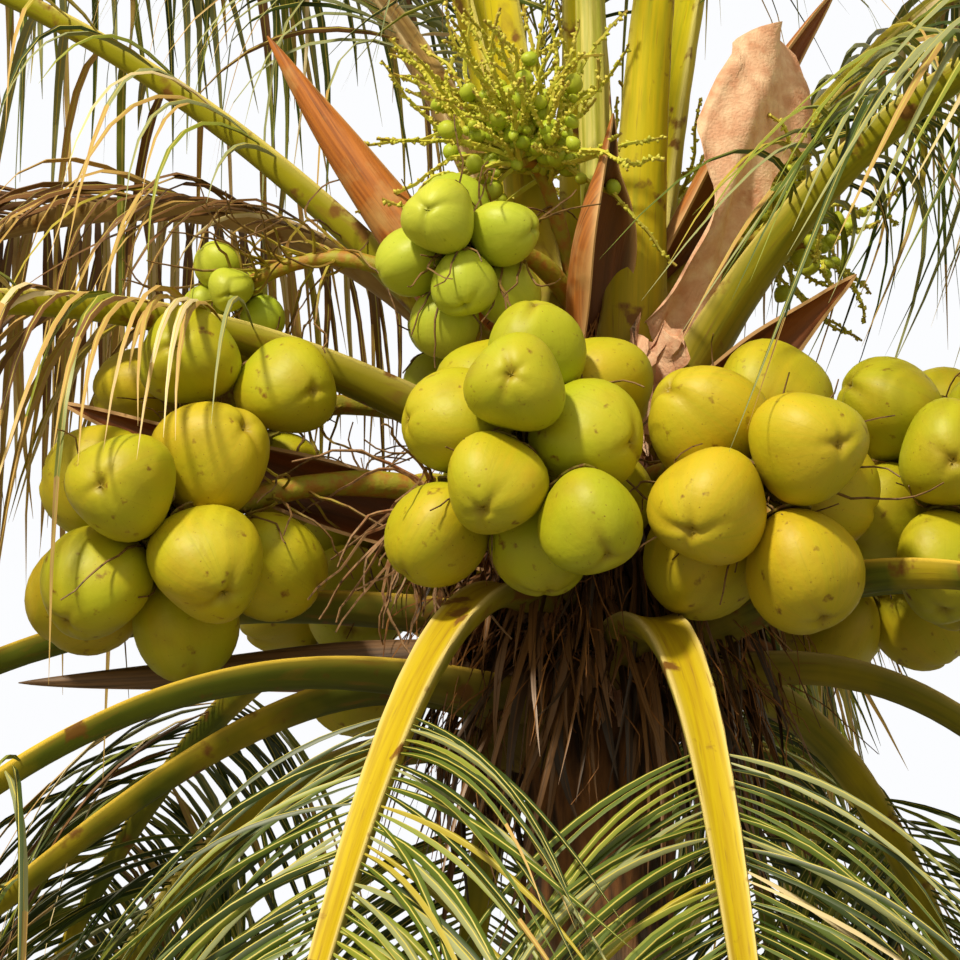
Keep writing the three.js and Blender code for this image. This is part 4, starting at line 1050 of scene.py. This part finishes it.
def grid_object(name, rows, fields):
    """Rows of points joined round into a closed skin, with a face over each end."""
    n, m = rows.shape[:2]
    ids = np.arange(n * m).reshape(n, m)
    beside = np.roll(ids, -1, axis=1)
    quads = np.stack([ids[:-1], beside[:-1], beside[1:], ids[1:]], axis=-1).reshape(-1, 4).tolist()
    caps = [ids[0][::-1].tolist(), ids[-1].tolist()]
    flat = {key: values.ravel() for key, values in fields.items()}
    return new_points(name, rows.reshape(-1, 3).tolist(), quads + caps, **flat)


def nut_shape(lobes, creases):
    heights, around = np.meshgrid(
        0.5 - 0.5 * np.cos(np.linspace(0.09, math.pi - 0.09, NUT_ROWS)) * 0.999,
        np.linspace(0, 2 * math.pi, NUT_SIDES, endpoint=False), indexing="ij",
    )
    rows, crease = nut_points(heights, around, lobes, creases)
    return grid_object("nut_shape", rows, {"tip": heights, "round": around * 1.6, "crease": crease})


def bract_shape():
    """Six leathery bracts in two rounds that clasp the stem end, with their edges a little proud."""
    around = np.linspace(0, 2 * math.pi, BRACT_SIDES, endpoint=False)
    reach = 0.15 + 0.045 * np.abs(np.cos(1.5 * around)) + 0.02 * np.abs(np.cos(4.5 * around))
    rows = []
    for share, proud in BRACT_PROFILE:
        spots, _ = nut_points(reach * share, around, 0, [])
        rows.append(spots * proud)
    return grid_object("bract_shape", np.array(rows), {})


def scatter_tree():
    """Puts one shape on every point, turned and sized by the point's own numbers."""
    tree, given = new_tree("scatter", {
        "Shape": "NodeSocketObject", "Finish": "NodeSocketMaterial", "Size": "NodeSocketFloat",
    })
    shape = add(tree, "GeometryNodeObjectInfo", {"Object": given["Shape"]}).outputs["Geometry"]
    size = add(tree, "GeometryNodeInputNamedAttribute", {"Name": "size"}, data_type="FLOAT")
    size = add(tree, "ShaderNodeMath", {0: size, 1: given["Size"]}, operation="MULTIPLY")
    turned = add(tree, "GeometryNodeInputNamedAttribute", {"Name": "turned"}, data_type="FLOAT_VECTOR")
    placed = add(tree, "GeometryNodeInstanceOnPoints", {
        "Points": given["Geometry"], "Instance": shape, "Rotation": turned, "Scale": size,
    })
    mesh = add(tree, "GeometryNodeRealizeInstances", {"Geometry": placed})
    mesh = add(tree, "GeometryNodeSetMaterial", {"Geometry": mesh, "Material": given["Finish"]})
    add(tree, "NodeGroupOutput", {"Geometry": mesh})
    return tree


scatter = scatter_tree()


def scattered(shape, finish, spots, sizes, axes, spins, **fields):
    """A mesh of one shape on many places, its own axis turned along each axis given."""
    turned = []
    for axis, spin in zip(axes, spins):
        turn = Vector((0, 0, 1)).rotation_difference(Vector(axis)) @ Quaternion((0, 0, 1), spin)
        turned.append(tuple(turn.to_euler()))
    places = (np.array(spots) * MM).tolist()
    source = new_points("places", places, size=np.array(sizes) * MM, turned=turned, **fields)
    return grown(source, scatter, shape=shape, finish=finish, size=1.0)


def joined(meshes):
    """Several meshes with the same finish made one."""
    solid = bmesh.new()
    for mesh in meshes:
        solid.from_mesh(mesh)
    whole = bpy.data.meshes.new("joined")
    solid.to_mesh(whole)
    solid.free()
    whole.materials.append(meshes[0].materials[0])
    return whole


# %% Hang the nuts
nut_shapes = [nut_shape(1.3 * k, creases) for k, creases in enumerate(CREASES)]
YOUNG_RADIUS = 75
NUT_SPIN = 2.4
BRACT_SPIN = 1.7


def on_nuts(some, shape, finish, spin, **fields):
    """One shape on the place of each nut, spun a little further round every time."""
    return scattered(
        shape, finish, [n.place for n in some], [n.radius for n in some], [n.axis for n in some],
        [spin * i for i in range(len(some))], **fields,
    )


def hang(own, finish, name):
    """Makes some of the nuts as one piece and their bracts as another."""
    meshes = []
    for k, shape in enumerate(nut_shapes):
        some = own[k::len(nut_shapes)]
        ripe = [RIPENESS.get(n.bunch.name, 0.5) + 0.5 * (chance(3000 + 7 * i + k) - 0.5)
                for i, n in enumerate(some)]
        meshes.append(on_nuts(some, shape, finish, NUT_SPIN, ripe=ripe))
    held = [f"bunch_{b}" for b in sorted({n.bunch.name for n in own})]
    piece(name, joined(meshes), [], held, crease=180)
    caps = on_nuts(own, bract_shape(), bract, BRACT_SPIN)
    piece(f"{name}_bracts", caps, [], held, crease=40)


hang([n for n in nuts if n.bunch.radius > YOUNG_RADIUS], full_husk, "full_nuts")
hang([n for n in nuts if n.bunch.radius <= YOUNG_RADIUS], young_husk, "young_nuts")

# %% [markdown]
# ## Stalks, twigs and dry strands
# A bunch hangs from a stalk as thick as a wrist. Each nut sits on a twig of its own, and the twigs that set
# no fruit stay on as dry wires that lie over the nuts. All are lines with a thickness at every point, so a
# third tree turns lines into tubes. The dry wires wander, sag and are lifted off any nut that they meet.

# %% The tube tree


def tube_tree():
    """Turns lines into closed tubes, as thick at every point as its own number says."""
    tree, given = new_tree("tubes", {"Finish": "NodeSocketMaterial", "Sides": "NodeSocketInt"})
    curve = add(tree, "GeometryNodeMeshToCurve", {"Mesh": given["Geometry"]})
    ring = add(tree, "GeometryNodeCurvePrimitiveCircle", {"Resolution": given["Sides"], "Radius": 1.0})
    thick = add(tree, "GeometryNodeInputNamedAttribute", {"Name": "thick"}, data_type="FLOAT")
    mesh = add(tree, "GeometryNodeCurveToMesh", {
        "Curve": curve, "Profile Curve": ring, "Scale": thick, "Fill Caps": True,
    })
    mesh = add(tree, "GeometryNodeRealizeInstances", {"Geometry": mesh})
    mesh = add(tree, "GeometryNodeSetMaterial", {"Geometry": mesh, "Material": given["Finish"]})
    add(tree, "NodeGroupOutput", {"Geometry": mesh})
    return tree


tubes = tube_tree()


class Lines:
    """Gathers lines, each with its thickness and its share of the way along at every point."""

    def __init__(self):
        self.spots, self.edges, self.thick, self.along = [], [], [], []

    def line(self, path, thick):
        first = len(self.spots)
        last = len(path) - 1
        for i, spot in enumerate(path):
            self.spots.append(tuple(Vector(spot) * MM))
            self.along.append(i / last)
            self.thick.append(thick(i / last) * MM)
        self.edges += [(first + i, first + i + 1) for i in range(last)]

    def make(self, name, finish, sides, slot, replaced):
        source = new_points(name, self.spots, edges=self.edges, thick=self.thick, along=self.along)
        return piece(name, grown(source, tubes, finish=finish, sides=sides), [], replaced, crease=80)


# %% Twig finishes


def twig_finish(name, fresh, worn, dry, dry_from, dry_to):
    """Rough green bark of a fruit stalk, nearly matt, which dries to brown wood towards its end."""
    material, tree, shader = new_finish(name, 0.65)
    here = add(tree, "ShaderNodeTexCoord").outputs["Object"]
    along = add(tree, "ShaderNodeAttribute", attribute_name="along").outputs["Fac"]
    tone = mottle(tree, colour(fresh), worn, 18, 0.42, 0.62, here)
    dried = mottle(tree, colour(dry), "#3a2716", 12, 0.5, 0.7, here)
    share = add(tree, "ShaderNodeMapRange", {"Value": along, "From Min": dry_from, "From Max": dry_to})
    tone = add(tree, "ShaderNodeMix", {"Factor": share, "A": tone, "B": dried}, data_type="RGBA")
    paint(tree, shader, tone)
    rough_skin(tree, shader, 6, 1.2, here)
    return material


stalk_bark = twig_finish("bunch_stalk", "#98901e", "#a0701e", "#6d4a1c", 0.9, 1.4)
wire = twig_finish("dry_fruit_wire", "#a09428", "#8a6424", "#7a5a34", 0.2, 0.6)
blossom_wire = twig_finish("blossom_wire", "#b6b834", "#bbac36", "#8a6426", 0.75, 1.1)
old_wire = twig_finish("old_dry_strand", "#8a5028", "#a8845c", "#8a6848", 0.1, 0.8)

# %% Bunch stalks and fruit twigs
rng = np.random.default_rng(11)
STALK_POINTS = 16
NUT_CLEAR = 1.07


def bump_line(thick, thinning, seed):
    """A thickness that thins along the way and is knobbly, like that of a fruit stalk."""
    return lambda share: thick * (1 - thinning * share) * (1 + 0.06 * math.sin(23 * share + seed))


def push_out(spot, gap):
    """Lifts a point off any nut that it is inside or too near to."""
    for nut in nuts:
        away = spot - nut.place
        need = nut.radius * NUT_CLEAR + gap
        if away.length < need:
            spot = nut.place + away.normalized() * need
    return spot


def wander(start, ahead, length, steps, wiggle, sag, gap=None):
    """A line that wanders and sags. With a gap, it keeps that far off the nuts."""
    path = [start]
    ahead = ahead.normalized()
    for _ in range(steps):
        ahead = (ahead + Vector(rng.normal(0, wiggle, 3)) - UP * sag).normalized()
        spot = path[-1] + ahead * (length / steps)
        path.append(push_out(spot, gap) if gap is not None else spot)
    return path


stalks, twigs, wires = Lines(), Lines(), Lines()
WIRES_A_BUNCH = 34
WIRE_THICK = 3.4
for index, bunch in enumerate(bunches):
    path = stalk_path(bunch, STALK_POINTS)
    stalks.line(path, bump_line(bunch.thick, 0.3, index))
    own = [n for n in nuts if n.bunch is bunch]
    for nut in own:
        end = nut.place - nut.axis * nut.radius
        root = min(path[STALK_POINTS // 2:], key=lambda spot: (spot - end).length)
        lifted = (root + end) / 2 + (root + end - 2 * bunch.middle).normalized() * 0.2 * (root - end).length
        twigs.line(bezier(root, lifted, end, 7), bump_line(0.09 * nut.radius + 2, 0.1, nut.radius))
    small = bunch.radius <= YOUNG_RADIUS
    for k in range(WIRES_A_BUNCH):
        root = path[-1 - k % 7]
        ahead = Vector(rng.normal(0, 1, 3)) + (root - heart_point(0, 0, bunch.level)).normalized() * 0.9
        length = (1.3 if small else 1.0) * rng.uniform(2.2, 4.0) * max(bunch.radius, 60)
        line = wander(root, ahead, length, 13, 0.22, 0.03, gap=4)
        wires.line(line, bump_line(WIRE_THICK, 0.6, k))
bunch_nodes = [f"bunch_{b.name}" for b in bunches]
stalks.make("bunch_stalks", stalk_bark, 10, "nut", bunch_nodes)
twigs.make("fruit_twigs", stalk_bark, 6, "nut", bunch_nodes)
wires.make("fruit_wires", wire, 4, "nut", bunch_nodes)

# %% [markdown]
# ## Blossom
# A flower cluster is a spray of dozens of wires set with yellow-green beads, which are male flowers a few
# millimetres across, and nearer the stalk each wire has green buttons that will be nuts. The beads are set
# on the wires' own points.

# %% Flower clusters
# How many wires a cluster has and how long they are.
SPIKES = {"flowers_left": (88, 370), "flowers_right": (36, 310), "flowers_back": (52, 330)}
SPIKE_THICK = 5.5
BEAD_OFF = 3.5
# The beads are fleshy buds without a shine, so a wire full of them reads as a soft yellow-green grain.
bead, tree, shader = new_finish("blossom_bead", 0.6)
here = add(tree, "ShaderNodeTexCoord").outputs["Object"]
tone = mottle(tree, colour("#bcbe38"), "#cfc050", 30, 0.4, 0.65, here)
paint(tree, shader, tone)


def ball_shape(rows, sides, tip):
    """A ball with a drawn-out tip."""
    heights, around = np.meshgrid(
        np.linspace(0.06, 0.94, rows), np.linspace(0, 2 * math.pi, sides, endpoint=False), indexing="ij",
    )
    side = np.sin(np.pi * heights)
    high = -np.cos(np.pi * heights) * (1 + tip * heights ** 3)
    spots = np.stack([side * np.cos(around), side * np.sin(around), high], axis=-1)
    return grid_object("ball", spots, {"tip": heights, "round": around, "crease": 0 * around})


flower_stalks, spikes = Lines(), Lines()
beads, buttons = [], []
for index, cluster in enumerate(clusters[:3]):
    path = stalk_path(cluster, STALK_POINTS)
    flower_stalks.line(path, bump_line(16, 0.3, index))
    count, long = SPIKES[cluster.name]
    for k in range(count):
        root = path[-1 - k % 8]
        ahead = heading(cluster.turn + rng.uniform(-110, 90)) + UP * (cluster.lift + rng.uniform(-0.9, 1.9))
        line = wander(root, ahead, long * rng.uniform(0.45, 1.1), 16, 0.16, 0.0, gap=4)
        spikes.line(line, bump_line(SPIKE_THICK, 0.5, k))
        for spot, after in zip(line[3:], line[4:]):
            for t in (0.0, 0.3, 0.65):
                side = Vector(rng.normal(0, 1, 3)).normalized()
                beads.append((spot.lerp(after, t) + side * BEAD_OFF, rng.uniform(3.0, 5.2), side))
        for spot in (line[i] for i in rng.integers(2, 9, 2)):
            side = Vector(rng.normal(0, 1, 3)).normalized()
            size = rng.uniform(8, 19)
            buttons.append((spot + side * size, size, side))
names = [cluster.name for cluster in clusters[:3]]
flower_stalks.make("blossom_stalks", stalk_bark, 9, "flower", names)
spikes.make("blossom_wires", blossom_wire, 4, "flower", names)
bead_mesh = scattered(ball_shape(3, 4, 0.4), bead, *map(list, zip(*beads)), spins=np.zeros(len(beads)))
piece("blossom_beads", bead_mesh, [], names, crease=180)
button_mesh = scattered(
    ball_shape(7, 10, 0.35), young_husk, *map(list, zip(*buttons)), spins=np.zeros(len(buttons)),
    ripe=np.linspace(0.1, 0.8, len(buttons)),
)
piece("button_nuts", button_mesh, [], names, crease=180)

# %% Dry strands
STRANDS = 44
STRAND_THICK = 4.2
strands = Lines()
old = clusters[-1]
path = stalk_path(old, STALK_POINTS)
strands.line(path, bump_line(15, 0.3, 4))
for k in range(STRANDS):
    root = path[-1 - k % 6]
    ahead = heading(old.turn + rng.uniform(-100, 100)) * 0.8 + UP * rng.uniform(-1.5, 0.4)
    line = wander(root, ahead, rng.uniform(140, 330), 11, 0.24, 0.12, gap=3)
    strands.line(line, bump_line(STRAND_THICK, 0.6, k))
strands.make("dry_strands_grown", old_wire, 4, "dry_sheath", ["dry_strands"])

# %% [markdown]
# ## Woody sheaths
# A flower cluster breaks out of a sheath as hard as bark. It stays on for months as a split boat,
# orange-brown and finely grooved outside, darker brown inside, with a pale rim. The section is an arc with
# two faces, lofted along a bowed line, closing to a point. The old ones weather to grey-brown.

# %% Sheath finish
# Hard wood with a faint gloss, its colour striped along the grain. The fine grooves along it catch the light,
# and thin dark lines of painted shade lie in them.
sheath, tree, shader = new_finish("woody_sheath", 0.5)
here = add(tree, "ShaderNodeTexCoord").outputs["Object"]
parts = {n: add(tree, "ShaderNodeAttribute", attribute_name=n).outputs["Fac"]
         for n in ("inside", "rim", "along", "around", "age")}
lengthwise = add(tree, "ShaderNodeCombineXYZ", {
    "X": parts["around"], "Y": parts["along"], "Z": parts["age"],
})
grooves = add(tree, "ShaderNodeMapping", {"Vector": lengthwise, "Scale": (1, 0.03, 1)})
outer = mottle(tree, colour("#c4742a"), "#98521c", 5, 0.4, 0.66, grooves)
outer = mottle(tree, outer, "#c99a5e", 60, 0.5, 0.75, here)
# Thin dark lines along the grooves: painted shade.
outer = mottle(tree, outer, "#4a2a14", 9, 0.6, 0.68, grooves)
weathered = mottle(tree, colour("#7c5c40"), "#4a3423", 6, 0.4, 0.65, grooves)
outer = add(tree, "ShaderNodeMix", {"Factor": parts["age"], "A": outer, "B": weathered}, data_type="RGBA")
inner = mottle(tree, colour("#85481c"), "#482610", 40, 0.4, 0.65, grooves)
tone = add(tree, "ShaderNodeMix", {"Factor": parts["inside"], "A": outer, "B": inner}, data_type="RGBA")
tone = add(tree, "ShaderNodeMix", {
    "Factor": parts["rim"], "A": tone, "B": colour("#c9a070"),
}, data_type="RGBA")
paint(tree, shader, tone)
rough_skin(tree, shader, 4, 1.6, grooves)

# %% Sheaths
SHEATH_ROWS = 44
SHEATH_ARC = 84
ARC_POINTS = 21
SHELL = 6
SHEATH_AGES = {"left": 0.8, "low_left": 1.0, "back": 0.6, "right": 0.35, "front": 0.3, "upper_right": 0.3}
# The front one is widest near its point, the others near their foot.
SHEATH_SWELLS = {"front": 2.2}


def both_faces(outer, inner):
    """Rings that run along an outer face and back along an inner one."""
    return np.concatenate([outer, inner[:, ::-1]], axis=1)


def sheath_rows(start, ahead, bow, length, width, swell, seed):
    """A split boat with two faces, which closes to a point and whose edges flare out a little."""
    bow = (bow - ahead * ahead.dot(bow)).normalized()
    across = ahead.cross(bow)
    shares = np.linspace(0, 0.997, SHEATH_ROWS)[:, None]
    belly = 0.34 + 0.66 * np.sin(np.pi * np.minimum(1, 0.15 + shares) ** swell)
    half = width * belly * np.clip((1 - shares) / 0.15, 0, 1) ** 0.7
    turn = np.radians(np.linspace(-SHEATH_ARC, SHEATH_ARC, ARC_POINTS))[None]
    lifted = np.abs(turn / turn.max()) ** 3
    middle = np.array(start) + np.array(ahead) * length * shares
    middle = middle - np.array(bow) * 0.1 * length * shares * (1 - shares)
    middle = middle + np.array(across) * 0.03 * length * np.sin(2.4 * shares + seed)
    frill = 1 + 0.05 * lifted * np.sin(14 * shares + seed + 3 * np.sign(turn))
    faces = []
    for shell in (0, SHELL):
        radius = np.maximum(half - shell, 0.4) * frill
        side = radius * np.sin(turn)
        deep = 0.5 * half - 0.8 * radius * np.cos(turn) + 0.1 * half * lifted
        faces.append(middle[:, None] + side[..., None] * np.array(across) + deep[..., None] * np.array(bow))
    return both_faces(*faces), shares, half


skin = Skin()
column = np.concatenate([np.linspace(-1, 1, ARC_POINTS), np.linspace(1, -1, ARC_POINTS)])[None]
inside = (np.arange(2 * ARC_POINTS) >= ARC_POINTS)[None]
rim = np.clip((np.abs(column) - 0.88) * 9, 0, 0.9)
for k, (name, turn, base, aim, pitch, length, width, opening) in enumerate(SHEATHS):
    swell = SHEATH_SWELLS.get(name, 0.8)
    start, ahead = seat(turn, base), heading(aim, pitch)
    rows, shares, half = sheath_rows(start, ahead, heading(opening), length, width, swell, k)
    skin.rings(
        rows, inside=inside, rim=rim, along=shares * length * MM, around=column * half * MM + k,
        age=SHEATH_AGES.get(name, 0.1),
    )
skin.make("woody_sheaths", [sheath], "dry_sheath", [f"sheath_{row[0]}" for row in SHEATHS])

# %% [markdown]
# ## Net, fibre and dead leaves
# Each leaf base leaves a brown net of crossed fibres that wraps the heart, torn along both ends, and one
# papery sheet stands up behind the nuts. Under the bunches hang rags of net, loose fibres and dead
# leaflets, and it is their shade that makes the heart of the crown look black. The nets are wavy sheets
# with two faces, the fibres are tubes, and the dead leaflets come from the leaflet tree.

# %% Net finish
# Dry fibre without a shine, crossed in two directions. Its threads are under a millimetre thick, which
# wouldn't show, so they are drawn as coarse as three and four, and the dark streaks between them are
# painted shade in the gaps. Where `paper` is high, the sheet is a thin bleached skin instead, pale and
# veined, and its palest blotches are partly bleaching and partly painted highlight.
net, tree, shader = new_finish("leaf_base_net", 0.85)
here = add(tree, "ShaderNodeTexCoord").outputs["Object"]
paper = add(tree, "ShaderNodeAttribute", attribute_name="paper").outputs["Fac"]
weave = add(tree, "ShaderNodeCombineXYZ", {
    "X": add(tree, "ShaderNodeAttribute", attribute_name="around").outputs["Fac"],
    "Y": add(tree, "ShaderNodeAttribute", attribute_name="along").outputs["Fac"],
})
tone = colour("#8a5426")
for tilt in (0.45, -0.5):
    tilted = add(tree, "ShaderNodeMapping", {
        "Vector": weave, "Rotation": (0, 0, tilt), "Scale": (1, 0.05, 1),
    })
    # The dark streaks are painted shade in the gaps between the crossed threads.
    tone = mottle(tree, tone, "#3c2110", 3, 0.46, 0.6, tilted)
    tone = mottle(tree, tone, "#b07c46", 4, 0.58, 0.7, tilted)
fine = add(tree, "ShaderNodeMapping", {"Vector": weave, "Scale": (1, 0.06, 1)})
papery = mottle(tree, colour("#d8a78a"), "#b0704c", 90, 0.48, 0.75, here)
# The palest blotches are partly bleaching and partly painted highlight.
papery = mottle(tree, papery, "#f0d6b8", 26, 0.4, 0.9, here)
papery = mottle(tree, papery, "#a86e46", 3, 0.58, 1.2, fine)
tone = add(tree, "ShaderNodeMix", {"Factor": paper, "A": tone, "B": papery}, data_type="RGBA")
paint(tree, shader, tone)
rough_skin(tree, shader, 5, 2.0, here)

# %% Nets and rags
# Turns from and to, lowest and highest level, how far it stands off the heart, its lean and how papery it is.
NETS = {
    "front": (288, 336, 50, 340, 150, 0, 0.9), "tall": (300, 346, 230, 800, 30, 170, 1.0),
    "low": (244, 300, -430, -150, 60, 0, 0.8), "left": (214, 244, 120, 330, 30, 0, 0.3),
    "back": (32, 50, -20, 250, 30, 0, 0.2),
}
NET_ROWS = 24
NET_COLUMNS = 26
NET_THICK = 2.5
# A sheet that leans out further than this stands free of the heart.
FREE_LEAN = 150
RAGS = 22
rng = np.random.default_rng(23)


def sheet_rows(first, last, low, high, off, lean, seed):
    """A wavy sheet round the heart, torn along both ends. A free one has a waist and a rounded top."""
    turns = np.linspace(first, last, NET_COLUMNS)
    climb = np.linspace(0, 1, NET_ROWS)[:, None]
    bites = np.abs(np.sin(turns * 0.31 + seed) * np.sin(turns * 0.83 + 2 * seed))
    torn = 1 - 0.3 * bites - 0.07 * rng.random(NET_COLUMNS)
    worn = 0.22 * np.abs(np.sin(turns * 0.23 + 2 * seed)) + 0.05 * rng.random(NET_COLUMNS)
    levels = low + (high - low) * (climb * torn + worn * (1 - climb) ** 2)
    if lean > FREE_LEAN:
        sides = np.linspace(-1, 1.1, NET_COLUMNS)
        rounded = np.where(sides < 0, 0.34, 0.13) * np.abs(sides) ** 2.2
        levels = low + (high - low) * climb * (1.16 - rounded + 0.02 * np.sin(5 * sides))
        drawn_in = 1 - 0.6 * np.exp(-(((climb - 0.48) / 0.3) ** 4))
        turns = (first + last) / 2 + (turns - (first + last) / 2) * drawn_in + 20 * climb ** 1.6 - 5
    feet = [trunk_radius(CROWN + (low if lean > 0 else level)) for level in levels.mean(axis=1)]
    foot = np.array(feet)[:, None]
    wave = 0.5 + 0.3 * np.sin(turns / 2.6 + 3 * climb + seed)
    wave = wave + 0.25 * np.sin(turns / 6 - 6 * climb + 2 * seed)
    crumple = 0.12 * np.sin(23 * climb + turns / 3 + seed) * np.sin(turns / 1.9 - 9 * climb)
    reach = foot + off * (0.35 + 0.65 * climb) * (wave + 2 * crumple * climb)
    if lean > FREE_LEAN:
        reach = reach + lean * (2.8 * climb - 1.8 * climb ** 2) + 2.6 * (turns - (first + last) / 2)
        reach = reach + 14 * np.sin(turns / 3.1 + 2) * np.sin(9 * climb + 1)
    else:
        reach = reach + lean * climb ** 1.2
    middle = np.array(heart_point(0, 0, 0))
    at = np.radians(turns)
    faces = []
    for thick in (NET_THICK, 0):
        faces.append(np.stack([
            middle[0] + (reach + thick) * np.cos(at), middle[1] + (reach + thick) * np.sin(at),
            CROWN + levels,
        ], axis=-1))
    return both_faces(*faces), levels, np.radians(np.broadcast_to(turns, levels.shape)) * foot.mean()


skin = Skin()


def add_sheet(row, seed):
    """Adds one net or rag to the skin."""
    *extent, paper = row
    rows, levels, around = sheet_rows(*extent, seed)
    skin.rings(
        rows, along=both_faces(levels, levels) * MM, around=both_faces(around, around) * MM, paper=paper,
    )


for k, row in enumerate(NETS.values()):
    add_sheet(row, k)
for k in range(RAGS):
    turn, wide, top = 360 * k / RAGS + rng.uniform(-8, 8), rng.uniform(14, 26), rng.uniform(-190, 40)
    drop, off, lean = rng.uniform(180, 420), rng.uniform(20, 60), rng.uniform(20, 130)
    add_sheet((turn, turn + wide, top, top - drop, off, lean, 0.1), k + 9)
net_nodes = [f"net_{name}" for name in NETS]
skin.make("leaf_base_nets", [net], "fibre_net", net_nodes)

# %% Loose fibres
# Coir, quite dull, so that the fibres sink into the shade instead of glinting.
thread, tree, shader = new_finish("palm_fibre", 0.9)
here = add(tree, "ShaderNodeTexCoord").outputs["Object"]
tone = mottle(tree, colour("#96622e"), "#4a2c15", 60, 0.4, 0.6, here)
paint(tree, shader, tone)
THREADS = 900
THREAD_THICK = 1.5
HANGING_FIBRES = 420
HANGING_THICK = 2.2
fibres = Lines()
for k in range(THREADS):
    turn, level = rng.uniform(0, 360), rng.uniform(-430, 300)
    drift = rng.uniform(-30, 30)
    span = rng.uniform(60, 170)
    path = []
    for t in np.linspace(0, 1, 5):
        z = level + span * t
        off = 6 + 24 * math.sin(math.pi * t) * chance(k)
        path.append(heart_point(turn + drift * t, trunk_radius(CROWN + z) + off, z))
    fibres.line(path, lambda share: THREAD_THICK)
for k in range(HANGING_FIBRES):
    turn, level = rng.uniform(0, 360), rng.uniform(-330, 60)
    start = heart_point(turn, trunk_radius(CROWN + level) + rng.uniform(0, 60), level)
    ahead = heading(turn) * 0.7 + UP * rng.uniform(-0.6, 0.3)
    line = wander(start, ahead, rng.uniform(120, 420), 9, 0.2, 0.22)
    fibres.line(line, lambda share: HANGING_THICK * (1 - 0.6 * share))
fibres.make("loose_fibres", thread, 3, "fibre_net", net_nodes)

# %% Dead leaflets round the heart
DEAD = 400
rng = np.random.default_rng(5)
turns = rng.uniform(0, 360, DEAD)
levels = rng.uniform(-330, 60, DEAD)
length = rng.uniform(180, 540, DEAD)[:, None] * MM
outward = np.array([heading(turn, rng.uniform(-40, 35)) for turn in turns])
roots = [tuple(heart_point(turn, trunk_radius(CROWN + level) * 0.9, level) * MM)
         for turn, level in zip(turns, levels)]
sideways = np.array([heading(turn + 90 + rng.normal(0, 40)) for turn in turns])
dead = dict(
    reach=outward * length * 0.75, bend=-0.35 * outward * length - 0.8 * length * np.array(UP),
    curl=rng.normal(0, 0.13, (DEAD, 3)) * length, wide=sideways, over=np.cross(outward, sideways),
    half=rng.uniform(7, 15, DEAD) * MM, tint=rng.choice([BROWN, ROTTEN], DEAD, p=[0.5, 0.5]),
    dry_from=[2.0] * DEAD,
)
roots = new_points("dead_roots", roots, **dead)
mesh = grown(roots, leaflets, leaflet=leaflet_shape, width=WIDTH_SCALE, vein=dry_vein_finish)
piece("dead_leaflets", mesh, [], net_nodes, crease=180)

# %% [markdown]
# ## Spear leaf
# The newest leaf stands on the heart still folded like a shut fan. A star-shaped section gives its pleats.

# %% Spear leaf
# A young blade is pale and tender, with a soft sheen and fine upright veins.
pleated, tree, shader = new_finish("folded_young_leaf", 0.45)
here = add(tree, "ShaderNodeTexCoord").outputs["Object"]
upright = add(tree, "ShaderNodeMapping", {"Vector": here, "Scale": (1, 1, 0.04)})
tone = mottle(tree, colour("#a8aa3a"), "#d0c56a", 6, 0.4, 0.7, upright)
paint(tree, shader, tone)
rough_skin(tree, shader, 5, 1.0, upright)
SPEAR_FOOT = TRUNK.heart_top + 0.6
SPEAR_LENGTH = 1650
SPEAR_RADII = {0: 27, 0.25: 30, 0.55: 24, 0.85: 12, 1: 4}
PLEATS = 9
shares = np.linspace(0, 1, 60)[:, None]
around = np.radians(np.linspace(0, 360, 36, endpoint=False))[None]
radius = profile(SPEAR_RADII, shares) * (0.94 + 0.06 * np.cos(PLEATS * around + 5 * shares))
foot = heart_point(0, 0, SPEAR_FOOT)
rows = np.stack([
    foot.x - 70 * shares ** 2 + radius * np.cos(around), foot.y + 40 * shares ** 2 + radius * np.sin(around),
    foot.z + SPEAR_LENGTH * shares + 0 * radius,
], axis=-1)
skin = Skin()
skin.rings(rows)
skin.make("spear_leaf_pleats", [pleated], "frond", ["spear_leaf"])
